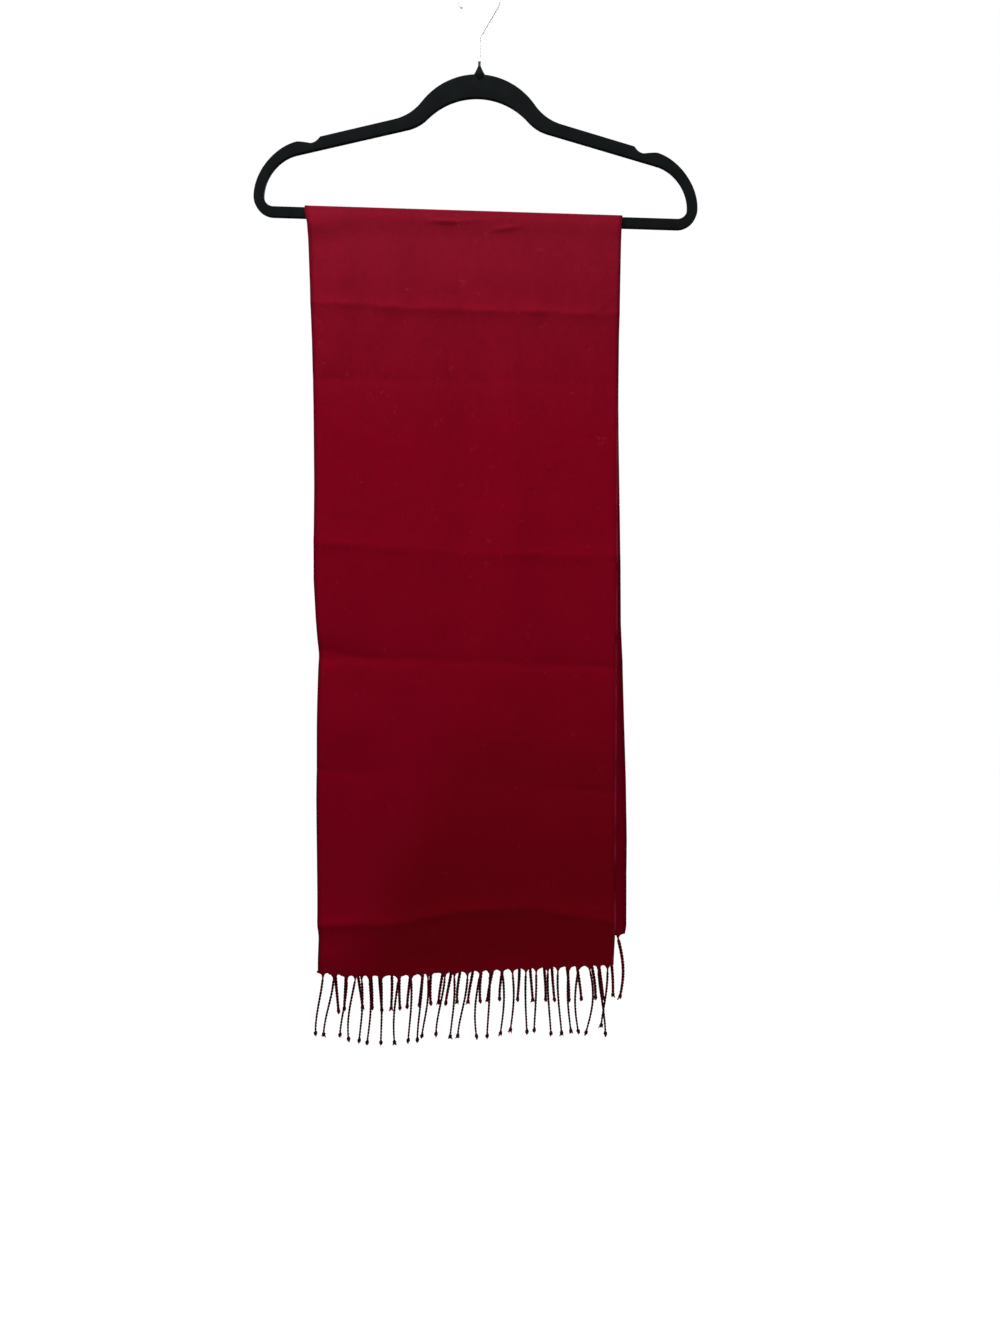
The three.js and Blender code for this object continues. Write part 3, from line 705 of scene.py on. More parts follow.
@dataclass
class Fall:
    """One hanging side of the scarf, as a surface of the share across and the share down.

    The edges are its outline and the hem its lower edge, as places across and heights. The cloth
    lies on the bar, rises in a low shoulder just below it, and swells away from it over the stretch
    run_in, where the creases and swells grow in. Wrinkles keep their full height on the bar.
    """

    side: Side
    edges: Sequence[Edge]
    hem: Sequence[tuple[float, float]]
    creases: Sequence[Crease]
    swells: Sequence[Swell]
    wrinkles: Sequence[Swell]
    seed: int
    hanger: HangerSizes = field(default_factory=HangerSizes)
    wall: float = 1.4
    rest_swell: float = 2.6
    most_inward: float = 1.6
    shoulder: float = 1.2
    shoulder_crest: float = 9.0
    shoulder_end: float = 27.0
    run_in: float = 60.0
    over_bar_drop: float = 13.3
    edge_curl: float = 0.9
    edge_reach: float = 2.2
    fitting_rounds: int = 3
    small_swells: int = 60
    small_across: tuple[float, float] = (-160.0, 140.0)
    small_long: tuple[float, float] = (14.0, 46.0)
    small_wide: tuple[float, float] = (5.0, 13.0)
    small_turns: tuple[tuple[float, float], ...] = ((-25.0, 25.0), (60.0, 120.0))
    small_stand: tuple[float, float] = (-0.3, 0.34)

    def __post_init__(self) -> None:
        """Adds the small uneven places that all brushed cloth has."""
        draw = random.Random(self.seed)
        low, high = self.hem[0][1], self.hanger.bar_top(0.0) - self.over_bar_drop
        small = [
            Swell(
                x=draw.uniform(*self.small_across),
                z=draw.uniform(low, high),
                long=draw.uniform(*self.small_long),
                wide=draw.uniform(*self.small_wide),
                angle=draw.choice([draw.uniform(*turns) for turns in self.small_turns]),
                stand=draw.uniform(*self.small_stand),
            )
            for _ in range(self.small_swells)
        ]
        self.swells = [*self.swells, *small]

    def across(self, share: Places, z: Places) -> Places:
        """The place across from the share and the height."""
        rows = sorted(self.edges, key=lambda row: row.z)
        heights = [row.z for row in rows]
        left = np.interp(z, heights, [row.left for row in rows])
        right = np.interp(z, heights, [row.right for row in rows])
        return left + (right - left) * share

    def hem_at(self, x: Places) -> Places:
        """The hem's height at a place across."""
        return np.interp(x, [place for place, _ in self.hem], [height for _, height in self.hem])

    def share_at(self, x: Places, z: Places) -> Places:
        """The share across from the place and the height."""
        left, right = self.across(0.0, z), self.across(1.0, z)
        return np.clip((x - left) / (right - left), 0.0, 1.0)

    def stand(self, x: Places, z: Places) -> Places:
        """How far the inner face of the cloth stands out of the bar's face."""
        share = self.share_at(x, z)
        total = self.rest_swell + sum(crease.depth(share, z) for crease in self.creases)
        total = total + sum(swell.depth(x, z) for swell in self.swells)
        width = self.across(1.0, z) - self.across(0.0, z)
        from_edge = np.minimum(share, 1 - share) * width
        total = total - self.edge_curl * np.exp(-from_edge / self.edge_reach)
        drop = self.hanger.bar_top(x) - z
        free = ramp(drop, self.over_bar_drop, self.over_bar_drop + self.run_in)
        crest, end = self.shoulder_crest, self.shoulder_end
        shoulder = self.shoulder * ramp(drop, 0.0, crest) * (1 - ramp(drop, crest, end))
        wrinkled = sum(wrinkle.depth(x, z) for wrinkle in self.wrinkles)
        return np.maximum(total, -self.most_inward) * free + shoulder + wrinkled

    def middle_y(self, x: Places, z: Places) -> Places:
        """Where the middle of the wall is, front to back."""
        inner = self.hanger.thickness / 2 + self.hanger.gap
        return self.side.value * (inner + self.wall / 2 + self.stand(x, z))

    def surface(self, share: np.ndarray, down: np.ndarray) -> np.ndarray:
        """The points of the wall's middle.

        Args:
            share: the shares across, a row.
            down: the shares down from beside the bar's top to the hem, a column.

        Returns:
            An array of rows, columns and three coordinates, in millimetres.
        """
        x = self.across(share, self.edges[0].z) + 0 * down
        for _ in range(self.fitting_rounds):
            top = self.hanger.bar_top(x) - self.hanger.edge
            z = top + (self.hem_at(x) - top) * down
            x = self.across(share, z)
        return np.stack([x, self.middle_y(x, z), z], axis=-1)


FRONT_FALL = Fall(
    side=Side.FRONT,
    edges=(
        Edge(-226, -174.8, 143.6),
        Edge(-240, -171.8, 142.2),
        Edge(-295, -169.6, 140.8),
        Edge(-354, -168.1, 139.8),
        Edge(-420, -167.4, 139.7),
        Edge(-500, -167.5, 139.7),
        Edge(-594, -169.0, 140.3),
        Edge(-635, -167.4, 140.4),
        Edge(-671, -165.2, 140.5),
        Edge(-717, -166.7, 140.5),
        Edge(-820, -168.8, 140.4),
        Edge(-946, -168.5, 140.4),
        Edge(-963, -167.3, 139.6),
        Edge(-1005, -169.1, 138.0),
    ),
    hem=((-169, -1000.4), (-141, -1004.5), (-84, -1004.5), (0, -999.4), (83, -995.1), (138, -993.0)),
    creases=(
        Crease(
            (-317, -322.5, -325.4, -327.5, -329.5), 1.7, 50, 52, (1.3, 2.2, 2.2, 2.0, 1.2), crisp_reach=5
        ),
        Crease((-392, -395, -396, -397), -0.5, 20, 18, (-0.9, -0.3, -0.1, 0.0)),
        Crease(
            (-555.5, -562, -567.5, -570, -571), 2.0, 46, 60, (1.6, 0.9, 0.4, 0.8, 1.0), crisp_reach=5
        ),
        Crease(
            (-671.5, -675, -678, -681, -683.5), -2.0, 38, 40, (-2.8, -1.0, -0.5, -0.7, -1.1), crisp_reach=5
        ),
        Crease((-790, -794, -801, -808, -812), -0.8, 40, 36, (-0.9, -0.2, 0.0, -0.3, -1.1), softness=8),
        Crease((-950, -949, -934, -932, -948), 3.6, 18, 26, (1.8, 0.7, 0.7, 0.7, 0.4)),
    ),
    swells=(
        Swell(-12, -530, 136, 23, 90, -4.2),
        Swell(34, -530, 136, 19, 92, 4.9),
        Swell(-136, -262, 44, 15, 90, 1.5),
        Swell(-171, -360, 36, 5, 90, 1.3),
        Swell(-140, -350, 40, 14, 90, 1.3),
        Swell(-150, -320, 90, 30, 90, 0.8),
        Swell(-112, -800, 150, 46, 72, 0.9),
        Swell(-166, -986, 24, 13, 0, 1.6),
        Swell(-52, -988, 24, 13, 0, -1.3),
        Swell(28, -984, 24, 13, 0, -1.3),
        Swell(96, -860, 110, 34, 90, 0.9),
        Swell(-140, -744, 38, 28, 0, 2.4),
        Swell(22, -752, 30, 28, 0, 2.0),
        Swell(104, -770, 36, 26, 4, 1.8),
        Swell(-154, -669, 24, 13, 0, -1.6),
        Swell(-70, -262, 34, 6, 8, 0.6),
    ),
    wrinkles=(
        Swell(-33.4, -237.6, 13, 1.8, -2, 2.8),
        Swell(-9, -236.6, 8, 1.4, 4, 1.0),
        Swell(26.5, -244.2, 13, 1.7, 9.6, 1.9),
        Swell(-165, -241, 24, 10, 0, 3.0),
        Swell(-171.5, -262, 26, 4, 90, 1.5),
        Swell(82, -272, 6, 1.8, 50, 0.8),
        Swell(-128, -264, 7, 1.8, 60, 0.5),
        Swell(122, -322, 12, 2.0, 40, 0.6),
        Swell(-146, -324, 11, 2.0, -35, 0.5),
        Swell(-40, -330, 14, 2.0, 20, 0.4),
        Swell(60, -566, 10, 2.0, 12, 0.6),
        Swell(-12, -561, 7, 1.9, 50, 0.8),
    ),
    seed=11,
)

BACK_FALL = Fall(
    side=Side.BACK,
    edges=(
        Edge(-226, -174.8, 143.6),
        Edge(-240, -171.8, 142.2),
        Edge(-354, -169.2, 140.6),
        Edge(-452, -168.5, 141.5),
        Edge(-574, -166.4, 144.5),
        Edge(-639, -165.0, 145.1),
        Edge(-677, -164.2, 146.9),
        Edge(-739, -162.0, 149.1),
        Edge(-802, -159.4, 151.5),
        Edge(-865, -158.6, 153.0),
        Edge(-957, -158.2, 153.1),
        Edge(-985, -158.4, 147.6),
    ),
    hem=((-159, -980.5), (-60, -978), (60, -970), (148, -964.5)),
    creases=(
        Crease((-331, -328, -326, -324, -322), 2.4, 50, 56, (0.6, 0.7, 0.5, 0.75, 0.6)),
        Crease((-392, -392, -394, -396), 0.3, 18, 18, (0.0, 0.1, 0.3, 0.5)),
        Crease((-448, -450, -452, -454, -455), -1.3, 44, 48, (-0.4, -0.25, -0.5, -0.4, -0.6)),
        Crease((-575, -571, -569, -567, -566), 1.8, 46, 46, (0.35, 0.5, 0.25, 0.3, 0.55)),
        Crease((-688, -686, -684, -681, -679), -1.5, 44, 44, (-0.6, -0.3, -0.5, -0.45, -0.8)),
        Crease((-905, -910, -914, -906, -900), 2.2, 46, 40, (0.6, 0.5, 0.3, 0.55, 0.7)),
    ),
    swells=(
        Swell(-92, -500, 150, 30, 90, 1.3),
        Swell(-10, -620, 140, 26, 90, -1.1),
        Swell(70, -540, 150, 26, 90, 1.2),
        Swell(20, -820, 130, 40, 90, 1.5),
        Swell(-104, -830, 110, 30, 80, -1.0),
    ),
    wrinkles=(
        Swell(-60, -237, 15, 1.6, 5, 0.9),
        Swell(38, -244, 17, 1.8, -6, 0.8),
        Swell(104, -247, 12, 2.0, 4, 0.5),
    ),
    seed=23,
)

FRONT_TASSELS = (
    Tassel(-163.4, -171.9, -1068.6, -0.7, 0.0),
    Tassel(-152.4, -163.5, -1069.7, 0.2, 0.6),
    Tassel(-138.9, -146.8, -1070.7, 0.9, -0.4),
    Tassel(-129.5, -137.2, -1075.0, -2.8, 0.5),
    Tassel(-123.8, -127.0, -1077.2, 2.2, -0.9),
    Tassel(-116.0, -118.6, -1078.8, 3.0, 0.8),
    Tassel(-102.9, -104.0, -1079.3, 0.7, 0.0),
    Tassel(-84.7, -89.3, -1078.8, -2.5, 0.7),
    Tassel(-72.2, -75.7, -1077.2, 1.6, -0.5),
    Tassel(-60.2, -65.8, -1075.7, 0.2, 1.6),
    Tassel(-55.0, -61.6, -1072.6, 2.6, -1.4),
    Tassel(-36.8, -46.4, -1069.7, 0.0, 0.4),
    Tassel(-27.4, -31.8, -1072.9, 1.8, -0.3),
    Tassel(-13.4, -23.8, -1071.4, 1.0, 0.8),
    Tassel(0.4, -3.6, -1072.6, -3.5, 0.0),
    Tassel(9.7, 6.9, -1071.8, 0.8, 0.5),
    Tassel(22.6, 20.5, -1069.7, 3.0, -0.6),
    Tassel(33.0, 31.0, -1065.4, 2.7, 0.6),
    Tassel(47.6, 48.7, -1067.5, -1.0, 0.0),
    Tassel(58.0, 56.0, -1065.4, 0.8, 0.7),
    Tassel(70.5, 73.8, -1069.7, -1.0, -0.4),
    Tassel(80.9, 84.9, -1068.6, -1.4, 0.4),
    Tassel(92.4, 94.7, -1066.5, -2.4, 0.0),
    Tassel(102.8, 102.6, -1066.5, -4.0, 0.9),
    Tassel(112.8, 109.4, -1068.6, 6.0, -0.5),
    Tassel(122.6, 130.3, -1068.6, 0.2, 1.8),
    Tassel(132.0, 126.0, -1061.1, 1.6, -1.6),
)

BACK_TASSELS = (
    Tassel(-153.0, -149.8, -1050.9, -1.0, 0.0),
    Tassel(-141.6, -144.0, -1048.1, 0.8, 0.6),
    Tassel(-129.8, -124.3, -1046.4, -1.4, -0.4),
    Tassel(-118.2, -114.7, -1047.1, 1.2, 0.5),
    Tassel(-106.8, -104.2, -1049.8, -0.8, 0.0),
    Tassel(-95.2, -94.7, -1048.1, 1.6, 0.7),
    Tassel(-83.6, -84.9, -1047.1, -1.2, -0.5),
    Tassel(-72.4, -77.7, -1046.0, 0.8, 0.6),
    Tassel(-60.8, -64.9, -1043.8, 1.8, 0.0),
    Tassel(-49.2, -52.4, -1042.3, -1.6, 0.4),
    Tassel(-37.8, -44.6, -1041.7, 0.9, 1.2),
    Tassel(-29.6, -37.0, -1041.7, 2.0, -1.0),
    Tassel(-17.0, -24.8, -1040.6, -1.0, 0.5),
    Tassel(-6.2, -13.6, -1040.6, 1.4, 0.0),
    Tassel(5.2, -0.2, -1039.5, -1.8, -0.6),
    Tassel(15.8, 7.2, -1038.5, 1.0, 0.8),
    Tassel(27.6, 20.1, -1037.4, -0.9, 0.0),
    Tassel(39.8, 38.8, -1038.5, 1.7, 0.5),
    Tassel(52.2, 55.2, -1038.5, -1.2, -0.4),
    Tassel(64.4, 68.6, -1038.5, 0.8, 0.6),
    Tassel(75.8, 78.1, -1038.5, -1.6, 0.0),
    Tassel(87.4, 93.2, -1038.5, 1.1, 0.4),
    Tassel(99.4, 106.4, -1037.4, -0.8, -0.5),
    Tassel(111.6, 121.2, -1036.3, 1.4, 0.7),
    Tassel(123.2, 129.5, -1036.3, -1.2, 0.0),
    Tassel(135.0, 139.6, -1033.1, 1.0, 0.6),
    Tassel(143.6, 146.4, -1034.9, 5.0, -0.4),
)


@dataclass
class ScarfCloth:
    """The scarf's one cut piece of cloth, from the front hem over the bar to the back hem.

    It is a grid that is finer at the selvedges and near the bar, with one more row just above each
    hem. Its crown is how far the middle of the turn rises above a flat one.
    """

    front: Fall
    back: Fall
    hanger: HangerSizes = field(default_factory=HangerSizes)
    columns: int = 72
    edge_crowding: float = 0.09
    fall_rows: int = 318
    row_crowding: float = 1.18
    hem_row: float = 0.0005
    turn_steps: int = 6
    level_places: tuple[float, ...] = (0.5, 0.0)
    flat_width: float = 310.0
    thickness: float = 1.3
    crown: float = 0.35

    def turn(self, share: np.ndarray) -> np.ndarray:
        """The points of the cloth where it turns over the bar, from front to back.

        Args:
            share: the shares across, a row.

        Returns:
            An array of rows, columns and three coordinates, in millimetres.
        """
        mid = self.front.wall / 2 + self.hanger.gap + self.hanger.edge
        flat = self.hanger.thickness / 2 - self.hanger.edge
        quarter = np.linspace(0.0, math.pi / 2, self.turn_steps + 1)[1:]
        corner = [(flat + mid * math.cos(a), mid * math.sin(a)) for a in quarter]
        level = [(flat * part, mid + self.crown * (1 - part * part)) for part in self.level_places]
        half = [*corner, *level]
        profile = [(-y, rise) for y, rise in half] + half[-2::-1]
        top = self.front.surface(share, np.zeros((1, 1)))[0]
        rows = []
        for y, rise in profile:
            x = top[:, 0]
            z = self.hanger.bar_top(x) - self.hanger.edge + rise
            rows.append(np.stack([x, np.full_like(x, y), z], axis=-1))
        return np.array(rows)

    def rows(self) -> tuple[np.ndarray, np.ndarray]:
        """Returns: every row of the cloth, from front hem to back, and each column's share across."""
        even = np.linspace(0.0, 1.0, self.columns + 1)
        share = (even - self.edge_crowding * np.sin(2 * math.pi * even))[None, :]
        even_rows = np.linspace(0.0, 1.0, self.fall_rows) ** self.row_crowding
        down = np.append(even_rows[:-1], (1 - self.hem_row, 1.0))[:, None]
        front = self.front.surface(share, down)[::-1]
        back = self.back.surface(share, down)
        return np.concatenate([front, self.turn(share), back]), share[0]

    def build(self) -> tuple[bpy.types.Object, float]:
        """Makes and dresses the cloth.

        Returns:
            The piece and the length of its flat cut in metres.
        """
        points, shares = self.rows()
        middle = points[:, self.columns // 2]
        steps = np.linalg.norm(np.diff(middle, axis=0), axis=1)
        along = np.concatenate([[0.0], np.cumsum(steps)])
        length = float(along[-1])
        bm = bmesh.new()
        last_row = len(points) - 1
        bmesh.ops.create_grid(bm, x_segments=self.columns, y_segments=last_row, size=1.0)
        places = {}
        for vert in bm.verts:
            column = round((vert.co.x + 1) / 2 * self.columns)
            row = round((vert.co.y + 1) / 2 * last_row)
            places[vert] = (float(shares[column]), float(along[row]) / length)
            vert.co = Vector(points[row, column]) * MM
        uv = bm.loops.layers.uv.new("cloth")
        for face in bm.faces:
            for loop in face.loops:
                loop[uv].uv = places[loop.vert]
        fold = float(along[last_row // 2])
        material = WoolFinish(self.flat_width, length, fold).material()
        piece = add_piece("scarf_cloth", mesh_from(bm, "scarf_cloth"), material)
        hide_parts("scarf_front_fall", "scarf_over_bar", "scarf_back_fall")
        solid = piece.modifiers.new("wall", "SOLIDIFY")
        solid.thickness = self.thickness * MM
        solid.offset = 0.0
        return piece, length * MM


class ThreadBundle:
    """Many round threads in one curve, which becomes one mesh."""

    def __init__(self, name: str, sides: int) -> None:
        """Args: name: the name of the mesh. sides: how many sides a thread has, an even number."""
        self.name = name
        self.curve = bpy.data.curves.new(name, "CURVE")
        self.curve.dimensions = "3D"
        self.curve.bevel_depth = MM
        # A round bevel of resolution n has 2n + 4 sides.
        self.curve.bevel_resolution = sides // 2 - 2
        self.curve.use_fill_caps = True

    def add(self, points: Sequence[Vector], radii: Sequence[float]) -> None:
        """Adds one thread.

        Args:
            points: its route in millimetres.
            radii: its radius at each point in millimetres.
        """
        spline = self.curve.splines.new("POLY")
        spline.points.add(len(points) - 1)
        flat = [value for p in points for value in (p.x * MM, p.y * MM, p.z * MM, 1.0)]
        spline.points.foreach_set("co", flat)
        spline.points.foreach_set("radius", list(radii))

    def mesh(self) -> bpy.types.Mesh:
        """Returns: the threads as one mesh."""
        holder = bpy.data.objects.new(self.name, self.curve)
        bpy.context.scene.collection.objects.link(holder)
        evaluated = holder.evaluated_get(bpy.context.evaluated_depsgraph_get())
        mesh = bpy.data.meshes.new_from_object(evaluated)
        mesh.name = self.name
        bpy.data.objects.remove(holder)
        mesh.shade_smooth()
        return mesh


@dataclass
class Fringe:
    """A row of twisted two-ply tassels with gathered roots, knots and loose ends.

    The warp threads tuck in behind the hem, swing in over the arch and join the plies, which part
    from each other as far as gather and turn once in each twist. What is a share is a share of the
    tassel's length, and the ends and the start are shares of a thread's full radius.
    """

    name: str
    node: str
    fall: Fall
    tassels: Sequence[Tassel]
    seed: int
    ply_radius: float
    ply_offset: float
    # How far down the tassel the painted shade takes to grow to full.
    painted_shade_over: float
    fuller_top: float = 0.35
    thread_sides: int = 6
    twist: float = 6.4
    points_per_turn: int = 8
    root_radius: float = 0.56
    root_pitch: float = 0.92
    root_reach: float = 6.6
    arch: float = 6.5
    arch_steps: int = 6
    merge_steps: tuple[float, ...] = (1.5, 3.2, 5.0)
    fewest_threads: int = 4
    thread_ends: tuple[float, ...] = (0.7, 0.5)
    gather: float = 9.0
    gathered_at: float = 0.45
    gather_radius: float = 0.4
    thin_start: float = 0.7
    tuck: float = 1.6
    root_proud: float = 0.2
    # How far below the hem the painted shade starts.
    painted_shade_from: float = 1.0
    knot_share: float = 0.955
    knot_radius: float = 1.05
    knot_bulge: tuple[float, float] = (0.7, 0.45)
    knot_length: float = 3.0
    knot_turns: float = 2.0
    knot_steps: int = 20
    knot_weave: float = 0.35
    tail_fibres: int = 7
    tail_radii: tuple[float, ...] = (0.5, 0.46, 0.4, 0.32, 0.16)
    tail_spread: tuple[float, float] = (0.3, 1.1)
    tail_lean: tuple[float, float] = (-0.3, 0.3)
    tail_uneven: tuple[float, float] = (-1.2, 0.9)
    forked_share: float = 0.3
    fork: float = 1.9

    def length(self, tassel: Tassel) -> float:
        """How far a tassel hangs below the hem, in millimetres."""
        return abs(tassel.z - float(self.fall.hem_at(tassel.root)))

    def axis(self, tassel: Tassel, share: float) -> Vector:
        """The middle of a tassel.

        Args:
            tassel: the tassel.
            share: how far down it, from 0 at the hem to 1 at the tip.

        Returns:
            The point in millimetres.
        """
        hem = float(self.fall.hem_at(tassel.root))
        y = float(self.fall.middle_y(tassel.root, hem))
        sway = share * share * (3 - 2 * share)
        x = tassel.root + (tassel.tip - tassel.root) * sway + tassel.bow * math.sin(math.pi * share)
        ahead = self.fall.side.value * tassel.ahead * math.sin(math.pi / 2 * share)
        return Vector((x, y + ahead, hem + (tassel.z - hem) * share))

    def add_plies(self, bundle: ThreadBundle, tassel: Tassel, phase: float) -> None:
        """Adds the two plies, twisted round each other down to the knot."""
        length = self.length(tassel)
        start = self.gathered_at * self.gather / length
        count = int(length / self.twist * self.points_per_turn)
        for ply in (0.0, math.pi):
            points, radii = [], []
            for step in range(count + 1):
                share = start + (self.knot_share - start) * step / count
                spread = float(ramp(share * length, start * length, self.gather))
                angle = phase + ply + 2 * math.pi * share * length / self.twist
                fuller = 1 + self.fuller_top * (1 - share)
                reach = self.ply_offset * spread * fuller
                offset = Vector((math.cos(angle), math.sin(angle), 0.0)) * reach
                thick = self.thin_start + (1 - self.thin_start) * spread
                points.append(self.axis(tassel, share) + offset)
                radii.append(self.ply_radius * thick * fuller)
            bundle.add(points, radii)

    def root_span(self, tassel: Tassel) -> tuple[float, float]:
        """How far its warp threads reach to the left and right: half way to its neighbours."""
        others = [other.root - tassel.root for other in self.tassels if other is not tassel]
        left = max((gap for gap in others if gap < 0), default=-2 * self.root_reach)
        right = min((gap for gap in others if gap > 0), default=2 * self.root_reach)
        return max(left / 2, -self.root_reach), min(right / 2, self.root_reach)

    def add_roots(self, bundle: ThreadBundle, tassel: Tassel, draw: random.Random) -> None:
        """Adds the warp threads, which swing in from the hem in round arches and join the twist."""
        hem = float(self.fall.hem_at(tassel.root))
        length = self.length(tassel)
        left, right = self.root_span(tassel)
        count = max(self.fewest_threads, round((right - left) / self.root_pitch))
        swing = [(math.pi / 2) * step / self.arch_steps for step in range(self.arch_steps + 1)]
        for thread in range(count):
            place = left + (right - left) * (thread + 0.5) / count
            turn = draw.uniform(0, 2 * math.pi)
            route = [(-self.tuck, 1.0)]
            route += [(self.arch * (1 - math.cos(angle)), 1 - math.sin(angle)) for angle in swing]
            route += [(self.arch + further, 0.0) for further in self.merge_steps]
            points = []
            for down, spread in route:
                share = max(down, 0.0) / length
                gathered = self.gather_radius * (1 - spread)
                aside = place * spread + gathered * math.cos(turn + down)
                deep = gathered * math.sin(turn + down)
                proud = self.fall.side.value * self.root_proud * spread
                base = self.axis(tassel, share)
                points.append(Vector((base.x + aside, base.y + deep + proud, hem - down)))
            thinning = [*[1.0] * (len(points) - len(self.thread_ends)), *self.thread_ends]
            bundle.add(points, [self.root_radius * part for part in thinning])

    def add_knot(self, bundle: ThreadBundle, tassel: Tassel, phase: float) -> None:
        """Adds the knot, a yarn wound twice round the end of the twist."""
        length = self.length(tassel)
        least, swell = self.knot_bulge
        points = []
        for step in range(self.knot_steps + 1):
            part = step / self.knot_steps
            angle = phase + self.knot_turns * 2 * math.pi * part
            share = self.knot_share + (part - 0.5) * self.knot_length / length
            bulge = least + swell * math.sin(math.pi * part)
            weave = self.knot_weave * math.sin(2 * angle)
            offset = Vector((math.cos(angle), math.sin(angle), weave)) * bulge
            points.append(self.axis(tassel, share) + offset)
        bundle.add(points, [self.knot_radius] * len(points))

    def add_tail(self, bundle: ThreadBundle, tassel: Tassel, draw: random.Random) -> None:
        """Adds the loose ends below the knot, which some tassels split in two."""
        length = self.length(tassel)
        forked = draw.random() < self.forked_share
        last = len(self.tail_radii) - 1
        for fibre in range(self.tail_fibres):
            turn = draw.uniform(0, 2 * math.pi)
            spread = draw.uniform(*self.tail_spread)
            side = self.fork if fibre % 2 else -self.fork
            lean = side if forked else draw.uniform(*self.tail_lean)
            reach = 1.0 + draw.uniform(*self.tail_uneven) / length
            points = []
            for step in range(last + 1):
                part = step / last
                share = self.knot_share + (reach - self.knot_share) * part
                aside = spread * math.sin(math.pi / 2 * part)
                offset = Vector((aside * math.cos(turn) + lean * part, aside * math.sin(turn), 0))
                points.append(self.axis(tassel, share) + offset)
            bundle.add(points, self.tail_radii)

    def mark_depth(self, mesh: bpy.types.Mesh) -> None:
        """Gives each point a number that grows from 0 at the hem to 1 where the yarn's painted shade is
        full.
        """
        flat = np.empty(len(mesh.vertices) * 3)
        mesh.vertices.foreach_get("co", flat)
        places = flat.reshape(-1, 3) / MM
        down = self.fall.hem_at(places[:, 0]) - places[:, 2]
        depth = (down - self.painted_shade_from) / self.painted_shade_over
        attribute = mesh.attributes.new(DOWN, "FLOAT", "POINT")
        attribute.data.foreach_set("value", np.clip(depth, 0.0, 1.0).astype(np.float32))

    def build(self, material: bpy.types.Material) -> bpy.types.Object:
        """Makes the fringe.

        Args:
            material: the yarn's material.

        Returns:
            The piece, which stands for its CAD node.
        """
        draw = random.Random(self.seed)
        bundle = ThreadBundle(self.name, self.thread_sides)
        for tassel in self.tassels:
            phase = draw.uniform(0, 2 * math.pi)
            self.add_roots(bundle, tassel, draw)
            self.add_plies(bundle, tassel, phase)
            self.add_knot(bundle, tassel, phase)
            self.add_tail(bundle, tassel, draw)
        mesh = bundle.mesh()
        self.mark_depth(mesh)
        piece = add_piece(self.name, mesh, material)
        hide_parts(self.node)
        return piece


@dataclass(frozen=True)
class Arch:
    """The hump of the frame's band: a circle's radius and middle, and where the curve leaves it."""

    radius: float
    centre_z: float
    leave_x: float


@dataclass(frozen=True)
class Arm:
    """The straight stretch of the frame's band, from the arch's foot to its end."""

    start: tuple[float, float]
    end: tuple[float, float]
    slope: float


